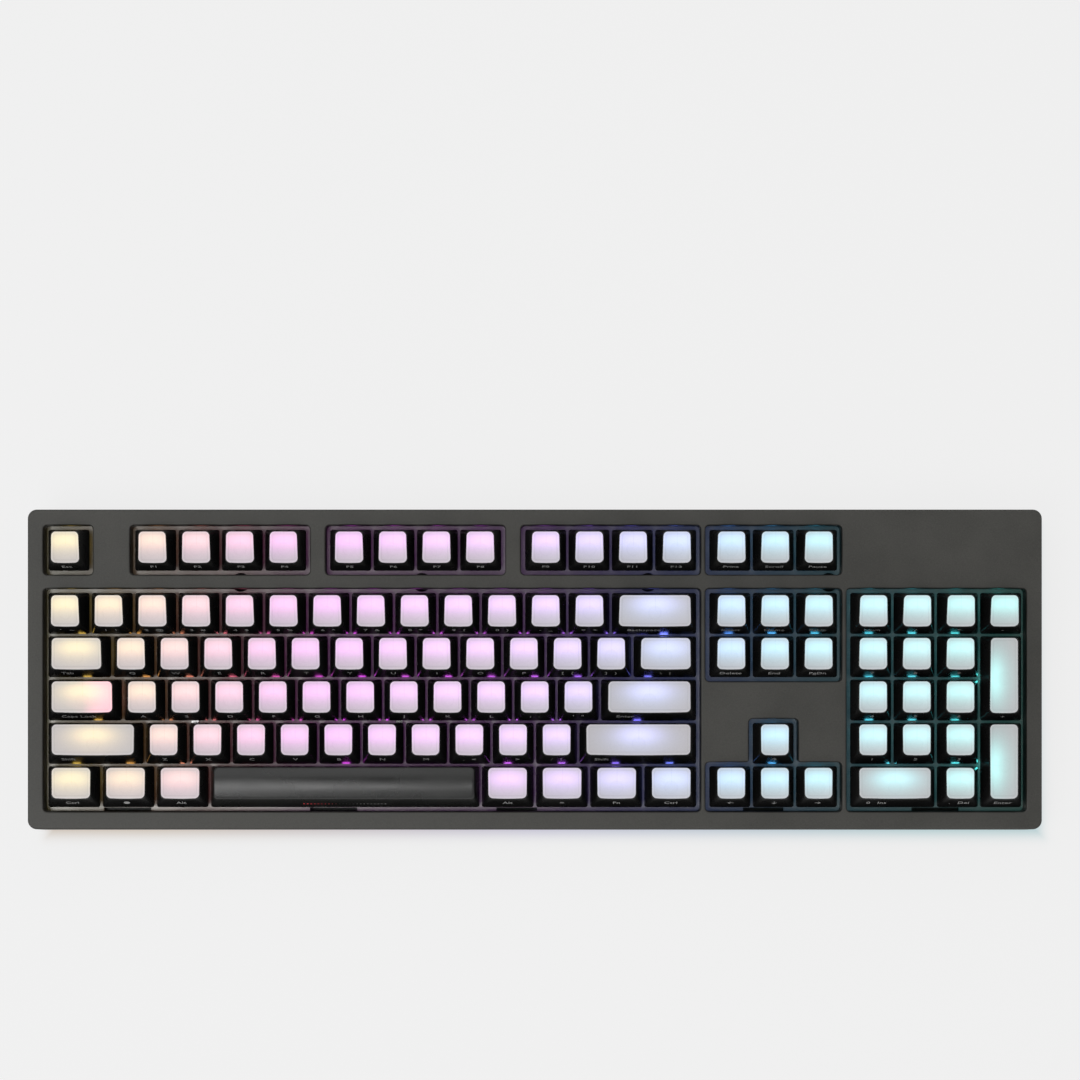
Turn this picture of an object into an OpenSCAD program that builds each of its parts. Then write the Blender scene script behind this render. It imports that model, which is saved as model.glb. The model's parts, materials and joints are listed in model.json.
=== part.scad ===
// Full-size mechanical keyboard with 104 light-passing keycaps.
// The origin is at the middle of the footprint, on the surface that the feet rest on.
// +X runs to the right, +Y away from the typist and +Z up. All lengths are millimetres.
// The plate, switches and keys sit on a slope: on_slope() places things in a frame whose
// u axis is X, whose v axis climbs towards the back and whose w axis is square to the plate.
// The plate's upper face is w = 0.

/* [Layout] */
// Distance between the centres of two neighbouring keys
pitch = 19.05; // [18.5:0.05:19.5]
// Free space between the function row's cells and the number row's cells
function_row_gap = 8.7; // [6:0.1:10]
// Slope of the keys towards the typist, in degrees
typing_angle = 4; // [3:0.5:6]
// Height of the plate's upper face above the table at the middle of the case
plate_height = 17.4; // [17:0.1:22]

/* [Case] */
// Border of the case at the left and right of the key openings
side_border = 6.9; // [6:0.1:12]
// Border of the case behind the function row
back_border = 7; // [6:0.1:12]
// Border of the case in front of the bottom row
front_border = 7.4; // [6:0.1:12]
// Free space round the key cells inside each opening
opening_clearance = 1.3; // [0.8:0.1:2]
// Radius of the openings' corners
opening_radius = 1.8; // [0.5:0.1:3]
// Radius of the case's upright corners
corner_radius = 4; // [2:0.5:8]
// Thickness of the case's walls
wall = 2.5; // [2:0.1:4]
// Height of the case's top surface above the plate
case_top = 9; // [8:0.1:11]
// Height of the joint between the upper and lower case
parting_height = 13; // [12.5:0.1:14]

/* [Keycaps] */
// Space between neighbouring keycaps at their bases
cap_gap = 0.95; // [0.6:0.05:1.5]
// Height of a keycap's base above the plate at rest
cap_base = 6.1; // [5.9:0.1:6.6]
// How much each side of a keycap leans in from base to top
cap_side_inset = 2.75; // [2:0.05:3.2]
// Thickness of a keycap's walls
cap_wall = 1.4; // [1:0.1:1.6]
// Thickness of the light-passing top
window_thickness = 1.5; // [1:0.1:2]
// Width of the black edge round the light-passing top
window_rim = 0.3; // [0.2:0.05:1]

/* [Switches] */
// Side of the square hole that holds a switch
switch_hole = 14; // [13.9:0.05:14.1]
// Thickness of the switch plate
plate_thickness = 1.5; // [1.2:0.1:1.5]
// How far a key travels
travel = 4; // [3:0.1:4]

/* [Feet] */
// Height of the rubber feet
rubber_height = 1.5; // [1:0.1:2]
// Length of a flip-out foot from its hinge to its tip
foot_length = 17; // [14:0.5:18]
// Width of a flip-out foot
foot_width = 34; // [28:1:40]

/* [Hidden] */
$fn = 48;
eps = 0.01;
layout_units = 22.5;
rows_below_function_row = 5;

case_width = layout_units * pitch + 2 * (opening_clearance + side_border);
case_depth = (1 + rows_below_function_row) * pitch + function_row_gap
    + 2 * opening_clearance + back_border + front_border;

// the case's top edges, measured along the slope
slope_back = (case_depth / 2 + case_top * sin(typing_angle)) / cos(typing_angle);
function_row_v = slope_back - back_border - opening_clearance - pitch / 2;
number_row_v = function_row_v - pitch - function_row_gap;
strip_v = (function_row_v + number_row_v) / 2;
front_edge_v = number_row_v - (rows_below_function_row - 1) * pitch - pitch / 2;

// keycap profiles, one for each row from the function row down:
// lean of the back wall, lean of the front wall, height at the back, height at the front
PROFILES = [
    [1.05, 3.05, 11.4, 9.9],
    [1.05, 3.05, 11.4, 9.9],
    [0.6, 3.4, 9.8, 8.9],
    [0.5, 3.6, 9.3, 8.9],
    [0.25, 4.1, 8.9, 9.3],
    [0.15, 4.2, 8.9, 9.3]
];

// keys are [left edge in units, row, width in units, depth in units]
function single(x, row) = [x, row, 1, 1];
function wide(x, row, width) = [x, row, width, 1];
ESCAPE = [single(0, 0)];
FUNCTION = [for (start = [2, 6.5, 11], i = [0:3]) single(start + i, 0)];
SYSTEM = [for (i = [0:2]) single(15.25 + i, 0)];
NUMBER = [for (i = [0:12]) single(i, 1)];
BACKSPACE = [wide(13, 1, 2)];
UPPER_LETTER = concat([wide(0, 2, 1.5)], [for (i = [0:11]) single(1.5 + i, 2)], [wide(13.5, 2, 1.5)]);
HOME_LETTER = concat([wide(0, 3, 1.75)], [for (i = [0:10]) single(1.75 + i, 3)]);
ENTER = [wide(12.75, 3, 2.25)];
LEFT_SHIFT = [wide(0, 4, 2.25)];
LOWER_LETTER = [for (i = [0:9]) single(2.25 + i, 4)];
RIGHT_SHIFT = [wide(12.25, 4, 2.75)];
SPACE = [wide(3.75, 5, 6.25)];
MODIFIER = [for (x = [0, 1.25, 2.5, 10, 11.25, 12.5, 13.75]) wide(x, 5, 1.25)];
NAVIGATION = [for (row = [1, 2], i = [0:2]) single(15.25 + i, row)];
ARROW = concat([single(16.25, 4)], [for (i = [0:2]) single(15.25 + i, 5)]);
NUMPAD = concat([for (i = [0:3]) single(18.5 + i, 1)],
    [for (row = [2:4], i = [0:2]) single(18.5 + i, row)], [single(20.5, 5)]);
NUMPAD_PLUS = [[21.5, 2, 1, 2]];
NUMPAD_ENTER = [[21.5, 4, 1, 2]];
NUMPAD_ZERO = [wide(18.5, 5, 2)];
ALL_KEYS = concat(ESCAPE, FUNCTION, SYSTEM, NUMBER, BACKSPACE, UPPER_LETTER, HOME_LETTER, ENTER,
    LEFT_SHIFT, LOWER_LETTER, RIGHT_SHIFT, SPACE, MODIFIER, NAVIGATION, ARROW, NUMPAD,
    NUMPAD_PLUS, NUMPAD_ENTER, NUMPAD_ZERO);

function row_v(row) = row == 0 ? function_row_v : number_row_v - (row - 1) * pitch;
function key_u(key) = (key[0] + key[2] / 2 - layout_units / 2) * pitch;
function key_v(key) = row_v(key[1]) - (key[3] - 1) / 2 * pitch;
function key_width(key) = key[2] * pitch - cap_gap;
function key_depth(key) = key[3] * pitch - cap_gap;
function is_long(key) = max(key[2], key[3]) >= 2;
function is_upright(key) = key[3] > key[2];

// each opening is [left edge, right edge, first row, last row], in units and row numbers
OPENINGS = [
    [0, 1, 0, 0], [2, 6, 0, 0], [6.5, 10.5, 0, 0], [11, 15, 0, 0], [15.25, 18.25, 0, 0],
    [0, 15, 1, 5], [15.25, 18.25, 1, 2], [16.25, 17.25, 4, 5], [15.25, 18.25, 5, 5],
    [18.5, 22.5, 1, 5]
];

// switch: sizes of the housings, the stem and the space for the lamp
flange = 15.6;
flange_thickness = 1;
housing_bottom = -5;
housing_top = 6.6;
roof_thickness = 1;
stem_hollow = [9, 6.2];
stem_bottom = 1.2;
hollow_floor = stem_bottom - travel - 0.8;
roof_hole = [7.2, 5.8];
stem_block = [8.4, 5.4];
stem_column = [6.8, 5.2];
block_top = 5.4;
cross_top = 10.2;
cross_bar = [4, 1.2];
cross_clearance = 0.05;
socket_radius = 2.75;
socket_bottom = housing_top + 0.05;
socket_depth = 3.8;
lamp_slot = [3.8, 4.2];
lamp_size = [3, 1.9];
lamp_v = 5.45;
lamp_top = 3.4;
contact_u = -5.7;
contact_v = 2.5;
contact_size = [0.4, 1.4];
pin_bottom = -8.3;
contact_top = 0.7;
spring_radius = 2.15;
spring_wire = 0.4;
spring_turns = 5;
spring_top = 4.9;

// stabilizer: distance of its two housings from the middle of a long key
short_reach = 11.938;
space_reach = 50;
function stabilizer_reach(key) = key[2] > 4 ? space_reach : short_reach;
stabilizer_body = [6.6, 12.4];
stabilizer_flange = [7.8, 14];
stabilizer_bottom = -4.4;
stabilizer_top = 2.5;
slider_hole = [5.6, 4.6];
slider_bottom = 0.6;
slider_hole_floor = slider_bottom - travel - 0.5;
slider_size = [5.2, 4.2];
wire_radius = 0.65;
wire_v = -8.6;
wire_w = 0.9;
wire_end_v = -0.6;

// board, plate and the screws that hold them
board_top = housing_bottom;
board_thickness = 1.6;
plate_half_width = case_width / 2 - wall - 3;
plate_back = slope_back - wall - 1.6;
plate_front = front_edge_v - 6.2;
board_front = front_edge_v - 1.2;
board_edge = 3;
plate_notch_depth = 6.3;
front_screw_v = plate_front + 1.9;
// middle and width of each notch in the plate's front edge
NOTCHES = [[-180, 21], [-89, 21], [-8, 18], [101, 18], [177, 21]];
// places of the screws that fasten the plate to the posts of the lower case
middle_screw_v = row_v(3) - pitch / 2;
PLATE_SCREWS = concat([for (u = [-200, -105, 0, 105, 200]) [u, strip_v]],
    [for (u = [-205, -134, -48, 48, 139, 205]) [u, front_screw_v]],
    [for (u = [-150, -60, 124, 166.7]) [u, middle_screw_v]]);
// places of the screws that join the two halves of the case
CASE_SCREWS = [[-130, strip_v], [-50, strip_v], [50, strip_v], [130, strip_v],
    [204, function_row_v], [104.8, row_v(3)]];
plate_screw_radius = 1;
plate_screw_head = [1.6, 1.2];
plate_screw_length = 6;
post_radius = 2.3;
case_post_radius = 3.5;
case_post_bottom = -8;
case_screw_radius = 1.5;
case_screw_head = [2.7, 1.8];
tube_radius = 5;
tube_seat = 2;
thread_gap = 0.05;
through_gap = 0.7;

// lower case
floor_thickness = 2.5;
floor_top = rubber_height + floor_thickness;
groove = 0.5;
groove_height = 0.8;
// flip-out feet, in their stored place under the back of the case
foot_x = 165;
foot_hinge_y = 56;
foot_thickness = 3.2;
hinge_radius = 2;
hinge_pin_radius = 1;
hinge_play = 0.05;
hinge_z = rubber_height + 0.3 + hinge_radius;
foot_pocket = [foot_width + 2, foot_length + 9];
foot_pocket_top = rubber_height + 6.4;
foot_pad = [26, 2.4, 2.2];
// plug socket in the middle of the back wall
plug_hole = [13, 7];
plug_z = 8.2;
socket_shell = [8.94, 7.3, 3.26];
socket_setback = 4.6;
socket_wall = 0.35;
plug_board = [20, 17, 1.2];
rubber_pad = [30, 8];
rubber_pad_places = [[-190, -60], [190, -60], [0, -60], [-120, 58], [120, 58]];

case_grey = [0.29, 0.29, 0.285];
cap_black = [0.04, 0.04, 0.045];
window_white = [0.93, 0.91, 0.94];

// ---- helpers ----

module on_slope() {
    translate([0, 0, plate_height])
        rotate([typing_angle, 0, 0])
            children();
}

module at_key(key) {
    translate([key_u(key), key_v(key), 0]) children();
}

// an upright key's switch and stabilizer are turned, which puts the lamp at the left
module turned(key) {
    rotate([0, 0, is_upright(key) ? 90 : 0]) children();
}

// a box from its lowest w to its highest, centred on u and v
module block(size, low, high) {
    translate([-size[0] / 2, -size[1] / 2, low]) cube([size[0], size[1], high - low]);
}

module rod(radius, low, high) {
    translate([0, 0, low]) cylinder(r = radius, h = high - low);
}

// a flat rectangle with true arcs at its corners
module rounded_rectangle(x0, x1, y0, y1, radius) {
    translate([x0 + radius, y0]) square([x1 - x0 - 2 * radius, y1 - y0]);
    translate([x0, y0 + radius]) square([x1 - x0, y1 - y0 - 2 * radius]);
    for (x = [x0 + radius, x1 - radius], y = [y0 + radius, y1 - radius])
        translate([x, y]) circle(r = radius);
}

module case_outline(inset) {
    rounded_rectangle(-case_width / 2 + inset, case_width / 2 - inset,
        -case_depth / 2 + inset, case_depth / 2 - inset, corner_radius - inset);
}

// the openings' outlines, seen square to the plate
module opening_outline(o, grow) {
    margin = opening_clearance + grow;
    rounded_rectangle((o[0] - layout_units / 2) * pitch - margin,
        (o[1] - layout_units / 2) * pitch + margin,
        row_v(o[3]) - pitch / 2 - margin, row_v(o[2]) + pitch / 2 + margin, opening_radius + grow);
}

// everything below a height above the plate, over the whole case
module below_slope(w) {
    on_slope() translate([-case_width, -case_depth, w - 80]) cube([2 * case_width, 2 * case_depth, 80]);
}

// ---- case ----

module top_case() {
    color(case_grey) difference() {
        union() {
            // skin and outer walls
            difference() {
                intersection() {
                    translate([0, 0, parting_height]) linear_extrude(40) case_outline(0);
                    below_slope(case_top);
                }
                intersection() {
                    translate([0, 0, parting_height - 1]) linear_extrude(40) case_outline(wall);
                    below_slope(case_top - wall);
                }
            }
            // collars that reach down to the plate
            on_slope() for (o = OPENINGS)
                translate([0, 0, 0.4]) linear_extrude(case_top - 1.4) opening_outline(o, 1.08);
            // posts for the case screws
            on_slope() for (p = CASE_SCREWS)
                translate([p[0], p[1], 0]) rod(case_post_radius, case_post_bottom, case_top - 1);
            // snap hooks that pass through the plate's front notches
            on_slope() for (n = NOTCHES)
                translate([n[0], plate_front + 2, 0]) {
                    block([n[1] - 7, 1.6], -6, case_top - 1);
                    translate([0, -1.1, 0]) block([n[1] - 7, 1.4], -6, -4.6);
                }
        }
        on_slope() for (o = OPENINGS)
            translate([0, 0, -1]) linear_extrude(case_top + 2) opening_outline(o, 0);
        on_slope() for (p = CASE_SCREWS)
            translate([p[0], p[1], 0])
                rod(case_screw_radius + thread_gap, case_post_bottom - 1, case_top - 5);
    }
}

module foot_pocket_block(side, grow, low, high) {
    translate([side * foot_x, foot_hinge_y + hinge_radius + 1 - foot_pocket[1] / 2, 0])
        block([foot_pocket[0] + 2 * grow, foot_pocket[1] + 2 * grow], low, high);
}

module bottom_case() {
    color(case_grey) difference() {
        union() {
            difference() {
                union() {
                    translate([0, 0, rubber_height])
                        linear_extrude(parting_height - groove_height - rubber_height) case_outline(0);
                    translate([0, 0, floor_top])
                        linear_extrude(parting_height - floor_top) case_outline(groove);
                }
                translate([0, 0, floor_top]) linear_extrude(30) case_outline(wall);
            }
            // posts and screw tubes stand on the floor and are square to the plate
            intersection() {
                translate([0, 0, rubber_height]) linear_extrude(60) case_outline(wall / 2);
                on_slope() {
                    for (p = PLATE_SCREWS)
                        translate([p[0], p[1], 0]) rod(post_radius, -30, -plate_thickness);
                    for (p = CASE_SCREWS)
                        translate([p[0], p[1], 0]) rod(tube_radius, -30, case_post_bottom);
                }
            }
            // pockets for the flip-out feet
            for (side = [-1, 1]) foot_pocket_block(side, 1.6, rubber_height, foot_pocket_top + 1.6);
            // supports of the plug board
            for (x = [-8, 8], y = [-13, -3])
                translate([x, case_depth / 2 - socket_setback + y, 0])
                    block([3, 3], rubber_height, plug_z - socket_shell[2] / 2 - plug_board[2]);
        }
        for (side = [-1, 1]) foot_pocket_block(side, 0, rubber_height - 1, foot_pocket_top);
        for (side = [-1, 1])
            translate([side * foot_x, foot_hinge_y, hinge_z]) rotate([0, 90, 0])
                cylinder(r = hinge_pin_radius, h = foot_pocket[0] + 2, center = true);
        on_slope() {
            for (p = PLATE_SCREWS)
                translate([p[0], p[1], 0])
                    rod(plate_screw_radius + thread_gap, -plate_screw_length - 1, 0);
            for (p = CASE_SCREWS)
                translate([p[0], p[1], 0]) {
                    rod(case_screw_radius + 0.2, case_post_bottom - tube_seat - 1, 0);
                    rod(case_screw_head[0] + 0.5, -40, case_post_bottom - tube_seat);
                }
        }
        // hole for the plug
        translate([0, case_depth / 2, plug_z]) rotate([90, 0, 0]) linear_extrude(3 * wall, center = true)
            rounded_rectangle(-plug_hole[0] / 2, plug_hole[0] / 2,
                -plug_hole[1] / 2, plug_hole[1] / 2, 2);
    }
}

module switch_plate() {
    color([0.62, 0.61, 0.6]) on_slope() difference() {
        translate([0, 0, -plate_thickness]) linear_extrude(plate_thickness) difference() {
            rounded_rectangle(-plate_half_width, plate_half_width, plate_front, plate_back, 2);
            for (n = NOTCHES)
                translate([n[0] - n[1] / 2, plate_front - 1]) square([n[1], plate_notch_depth + 1]);
            for (p = PLATE_SCREWS) translate(p) circle(r = plate_screw_radius + 0.2);
            for (p = CASE_SCREWS) translate(p) circle(r = case_post_radius + through_gap);
        }
        for (key = ALL_KEYS) at_key(key) {
            block([switch_hole, switch_hole], -plate_thickness - 1, 1);
            if (is_long(key)) stabilizer_places(key)
                block([stabilizer_body[0] + 0.2, stabilizer_body[1] + 0.2], -plate_thickness - 1, 1);
        }
    }
}

// ---- circuit board and plug ----

module circuit_board() {
    color([0.05, 0.06, 0.06]) on_slope()
        translate([0, 0, board_top - board_thickness]) linear_extrude(board_thickness) difference() {
            rounded_rectangle(-plate_half_width + board_edge, plate_half_width - board_edge,
                board_front, plate_back - board_edge, 2);
            for (p = PLATE_SCREWS) translate(p) circle(r = post_radius + through_gap);
            for (p = CASE_SCREWS) translate(p) circle(r = case_post_radius + through_gap);
            for (key = ALL_KEYS, side = [-1, 1])
                at_key(key) turned(key) translate([contact_u, side * contact_v])
                    square([0.9, contact_size[1] + 0.5], center = true);
        }
}

module controller_chip() {
    color([0.03, 0.03, 0.03]) on_slope() translate([-25, strip_v, 0])
        block([10, 10], board_top - board_thickness - 1.2, board_top - board_thickness);
}

module usb_board() {
    color([0.05, 0.2, 0.1])
        translate([0, case_depth / 2 - socket_setback - plug_board[1] / 2, 0])
            block([plug_board[0], plug_board[1]], plug_z - socket_shell[2] / 2 - plug_board[2],
                plug_z - socket_shell[2] / 2);
}

module stadium(width, height) {
    rounded_rectangle(-width / 2, width / 2, -height / 2, height / 2, height / 2 - eps);
}

module usb_socket() {
    mouth = case_depth / 2 - socket_setback;
    color([0.75, 0.75, 0.76]) translate([0, mouth, plug_z]) rotate([90, 0, 0]) difference() {
        linear_extrude(socket_shell[1]) stadium(socket_shell[0], socket_shell[2]);
        translate([0, 0, -1]) linear_extrude(socket_shell[1] - 0.5)
            stadium(socket_shell[0] - 2 * socket_wall, socket_shell[2] - 2 * socket_wall);
    }
    // tongue inside the shell
    color([0.05, 0.05, 0.05]) translate([0, mouth - socket_shell[1] + 0.4, plug_z])
        translate([-3.3, 0, -0.35]) cube([6.6, 5.6, 0.7]);
}

// a flat lead between the two boards, with a plug at each end
module board_lead() {
    low = plug_z - socket_shell[2] / 2;
    low_y = case_depth / 2 - socket_setback - plug_board[1] + 2;
    high_v = strip_v + 5;
    high_w = board_top - board_thickness;
    high_y = high_v * cos(typing_angle) - high_w * sin(typing_angle);
    high_z = plate_height + high_v * sin(typing_angle) + high_w * cos(typing_angle);
    color([0.85, 0.83, 0.8]) translate([-5, 0, 0]) rotate([90, 0, 90]) linear_extrude(10)
        polygon([[low_y - 1.5, low], [low_y + 1.5, low], [low_y + 1.5, low + 1.6], [low_y + 0.5, low + 1.6],
            [high_y + 0.5, high_z - 1.8], [high_y + 1.5, high_z - 1.8],
            [high_y + 1.5, high_z + 1.5 * tan(typing_angle)],
            [high_y - 1.5, high_z - 1.5 * tan(typing_angle)],
            [high_y - 1.5, high_z - 1.8], [high_y - 0.5, high_z - 1.8],
            [low_y - 0.5, low + 1.6], [low_y - 1.5, low + 1.6]]);
}

// ---- switches ----

module lamp_gap(low, high) {
    translate([-lamp_slot[0] / 2, lamp_slot[1], low]) cube([lamp_slot[0], flange, high - low]);
}

module lower_housing() {
    difference() {
        union() {
            block([switch_hole - 0.1, switch_hole - 0.1], housing_bottom, 0);
            block([flange, flange], 0, flange_thickness);
        }
        block(stem_hollow, hollow_floor, flange_thickness + 1);
        lamp_gap(housing_bottom - 1, flange_thickness + 1);
        translate([contact_u, 0, 0])
            block([contact_size[0] + 0.3, 2 * contact_v + contact_size[1] + 0.4],
                housing_bottom - 1, flange_thickness + 1);
    }
    // peg that centres the spring
    rod(spring_radius - 2 * spring_wire - 0.15, hollow_floor - 0.5, hollow_floor + 2);
}

// a block whose four sides lean in, cut from two crossed prisms
module leaning_block(base, top, height) {
    intersection() {
        rotate([90, 0, 0]) linear_extrude(base[1], center = true)
            polygon([[-base[0] / 2, 0], [base[0] / 2, 0], [top[0] / 2, height], [-top[0] / 2, height]]);
        rotate([90, 0, 90]) linear_extrude(base[0], center = true)
            polygon([[-base[1] / 2, 0], [base[1] / 2, 0], [top[1] / 2, height], [-top[1] / 2, height]]);
    }
}

module upper_housing() {
    difference() {
        translate([0, 0, flange_thickness])
            leaning_block([14, 14], [10.8, 10], housing_top - flange_thickness);
        block(stem_hollow, flange_thickness - 1, housing_top - roof_thickness);
        block(roof_hole, flange_thickness, housing_top + 1);
        lamp_gap(0, housing_top + 1);
    }
}

module cross(low, high, clearance) {
    long_side = cross_bar[0] + 2 * clearance;
    short_side = cross_bar[1] + 2 * clearance;
    block([long_side, short_side], low, high);
    block([short_side, long_side], low, high);
}

module stem() {
    difference() {
        union() {
            block(stem_block, stem_bottom, block_top);
            block(stem_column, block_top - 0.5, housing_top);
            cross(housing_top - 0.5, cross_top, 0);
        }
        rod(spring_radius + 0.3, stem_bottom - 1, spring_top);
    }
}

// ridged sleeve with the spring's length, width and turns
module spring() {
    turn = (spring_top - hollow_floor) / spring_turns;
    rotate_extrude() polygon(concat(
        [[spring_radius - 2 * spring_wire, spring_top], [spring_radius - 2 * spring_wire, hollow_floor]],
        [for (i = [0:spring_turns - 1], half = [0, 1])
            [spring_radius - spring_wire * 0.6 * half, hollow_floor + (i + half / 2) * turn]],
        [[spring_radius, spring_top]]));
}

module contact() {
    block(contact_size, pin_bottom, contact_top);
}

module lamp() {
    translate([0, lamp_v, 0]) block(lamp_size, board_top, lamp_top);
}

module switch_lower_housings() {
    color([0.1, 0.1, 0.1]) on_slope() for (key = ALL_KEYS) at_key(key) turned(key) lower_housing();
}

module switch_upper_housings() {
    color([0.12, 0.12, 0.12]) on_slope() for (key = ALL_KEYS) at_key(key) turned(key) upper_housing();
}

module switch_springs() {
    color([0.8, 0.8, 0.8]) on_slope() for (key = ALL_KEYS) at_key(key) spring();
}

module switch_contacts() {
    color([0.8, 0.6, 0.3]) on_slope() for (key = ALL_KEYS, side = [-1, 1])
        at_key(key) turned(key) translate([contact_u, side * contact_v, 0]) contact();
}

module backlight_leds() {
    color([0.95, 0.95, 0.9]) on_slope() for (key = ALL_KEYS) at_key(key) turned(key) lamp();
}

// ---- stabilizers ----

module stabilizer_places(key) {
    turned(key) for (side = [-1, 1]) translate([side * stabilizer_reach(key), 0, 0]) children();
}

module stabilizer_housing() {
    difference() {
        union() {
            block(stabilizer_body, stabilizer_bottom, 0);
            block(stabilizer_flange, 0, 1.2);
            block([stabilizer_body[0], 8], 0, stabilizer_top);
        }
        block(slider_hole, slider_hole_floor, stabilizer_top + 1);
        translate([-1, -stabilizer_flange[1], slider_hole_floor])
            cube([2, stabilizer_flange[1], stabilizer_top + 1 - slider_hole_floor]);
    }
}

module slider() {
    difference() {
        union() {
            block(slider_size, slider_bottom, housing_top);
            cross(housing_top - 0.5, cross_top, 0);
        }
        translate([-0.9, -slider_size[1], slider_bottom - 1]) cube([1.8, slider_size[1], 2.3]);
    }
}

module wire(key) {
    reach = stabilizer_reach(key);
    translate([0, wire_v, wire_w]) rotate([0, 90, 0])
        cylinder(r = wire_radius, h = 2 * reach, center = true);
    for (side = [-1, 1]) translate([side * reach, wire_v, wire_w]) {
        sphere(r = wire_radius);
        rotate([-90, 0, 0]) cylinder(r = wire_radius, h = wire_end_v - wire_v);
    }
}

module stabilizer_housings() {
    color([0.12, 0.12, 0.12]) on_slope() for (key = ALL_KEYS)
        if (is_long(key)) at_key(key) stabilizer_places(key) stabilizer_housing();
}

module stabilizer_wires() {
    color([0.75, 0.75, 0.77]) on_slope() for (key = ALL_KEYS)
        if (is_long(key)) at_key(key) turned(key) wire(key);
}

// ---- keycaps ----

// height of a keycap's sloping top above the cap's base
function cap_top(key, v) = let (p = PROFILES[key[1]],
    back = key_depth(key) / 2 - p[0], front = -key_depth(key) / 2 + p[1])
    p[3] + (p[2] - p[3]) * (v - front) / (back - front);

// a keycap's outer shape, drawn in by side and lowered by drop for the hollow inside
module cap_shape(key, side, drop, low) {
    p = PROFILES[key[1]];
    back = key_depth(key) / 2 - side - p[0];
    front = -key_depth(key) / 2 + side + p[1];
    half_width = key_width(key) / 2 - side;
    half_depth = key_depth(key) / 2 - side;
    lean = cap_side_inset / ((p[2] + p[3]) / 2);
    high = max(p[2], p[3]) + 1;
    intersection() {
        rotate([90, 0, 0]) linear_extrude(key_depth(key) + 2, center = true)
            polygon([[-half_width, low], [half_width, low], [half_width, 0],
                [half_width - lean * high, high], [-half_width + lean * high, high], [-half_width, 0]]);
        rotate([90, 0, 90]) linear_extrude(key_width(key) + 2, center = true)
            polygon([[-half_depth, low], [half_depth, low], [half_depth, 0],
                [back, cap_top(key, back) - drop], [front, cap_top(key, front) - drop], [-half_depth, 0]]);
    }
}

// the light-passing slab that fills the top of a keycap, standing proud when it cuts the shell
module window_slab(key, proud = 0) {
    p = PROFILES[key[1]];
    back = [key_depth(key) / 2 - p[0], p[2]];
    front = [-key_depth(key) / 2 + p[1], p[3]];
    along = (back - front) / norm(back - front) * window_rim;
    up = [0, proud];
    down = [0, -window_thickness];
    rotate([90, 0, 90])
        linear_extrude(key_width(key) - 2 * (cap_side_inset + window_rim), center = true)
            polygon([front + along + up, back - along + up, back - along + down, front + along + down]);
}

module cap_shell(key) {
    translate([0, 0, cap_base]) difference() {
        cap_shape(key, 0, 0, 0);
        cap_shape(key, cap_wall, window_thickness - 0.3, -1);
        window_slab(key, 1);
        // an upright key's outer sockets stand close to its leaning front wall
        if (is_upright(key)) stabilizer_places(key)
            rod(socket_radius + thread_gap, 0, socket_top(key) - cap_base + 0.02);
    }
}

function socket_top(key) = let (p = PROFILES[key[1]])
    cap_base + (p[2] + p[3]) / 2 - window_thickness + 0.5;

module stem_socket(key) {
    difference() {
        rod(socket_radius, socket_bottom, socket_top(key));
        cross(socket_bottom - 1, socket_bottom + socket_depth, cross_clearance);
    }
}

module all_sockets(key) {
    stem_socket(key);
    if (is_long(key)) stabilizer_places(key) stem_socket(key);
}

module stem_and_sliders(key) {
    turned(key) stem();
    if (is_long(key)) stabilizer_places(key) slider();
}

// black shells and black stems
module caps(keys) {
    color(cap_black) on_slope() for (key = keys) at_key(key) {
        cap_shell(key);
        stem_and_sliders(key);
    }
}

// light-passing tops with the sockets that grip the stems
module windows(keys) {
    color(window_white) on_slope() for (key = keys) at_key(key) {
        translate([0, 0, cap_base]) window_slab(key);
        all_sockets(key);
    }
}

module escape_cap() { caps(ESCAPE); }
module escape_window() { windows(ESCAPE); }
module function_caps() { caps(FUNCTION); }
module function_windows() { windows(FUNCTION); }
module system_caps() { caps(SYSTEM); }
module system_windows() { windows(SYSTEM); }
module number_caps() { caps(NUMBER); }
module number_windows() { windows(NUMBER); }
module backspace_cap() { caps(BACKSPACE); }
module backspace_window() { windows(BACKSPACE); }
module upper_letter_caps() { caps(UPPER_LETTER); }
module upper_letter_windows() { windows(UPPER_LETTER); }
module home_letter_caps() { caps(HOME_LETTER); }
module home_letter_windows() { windows(HOME_LETTER); }
module enter_cap() { caps(ENTER); }
module enter_window() { windows(ENTER); }
module left_shift_cap() { caps(LEFT_SHIFT); }
module left_shift_window() { windows(LEFT_SHIFT); }
module lower_letter_caps() { caps(LOWER_LETTER); }
module lower_letter_windows() { windows(LOWER_LETTER); }
module right_shift_cap() { caps(RIGHT_SHIFT); }
module right_shift_window() { windows(RIGHT_SHIFT); }
module modifier_caps() { caps(MODIFIER); }
module modifier_windows() { windows(MODIFIER); }
module navigation_caps() { caps(NAVIGATION); }
module navigation_windows() { windows(NAVIGATION); }
module arrow_caps() { caps(ARROW); }
module arrow_windows() { windows(ARROW); }
module numpad_caps() { caps(NUMPAD); }
module numpad_windows() { windows(NUMPAD); }
module numpad_plus_cap() { caps(NUMPAD_PLUS); }
module numpad_plus_window() { windows(NUMPAD_PLUS); }
module numpad_enter_cap() { caps(NUMPAD_ENTER); }
module numpad_enter_window() { windows(NUMPAD_ENTER); }
module numpad_zero_cap() { caps(NUMPAD_ZERO); }
module numpad_zero_window() { windows(NUMPAD_ZERO); }

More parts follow.
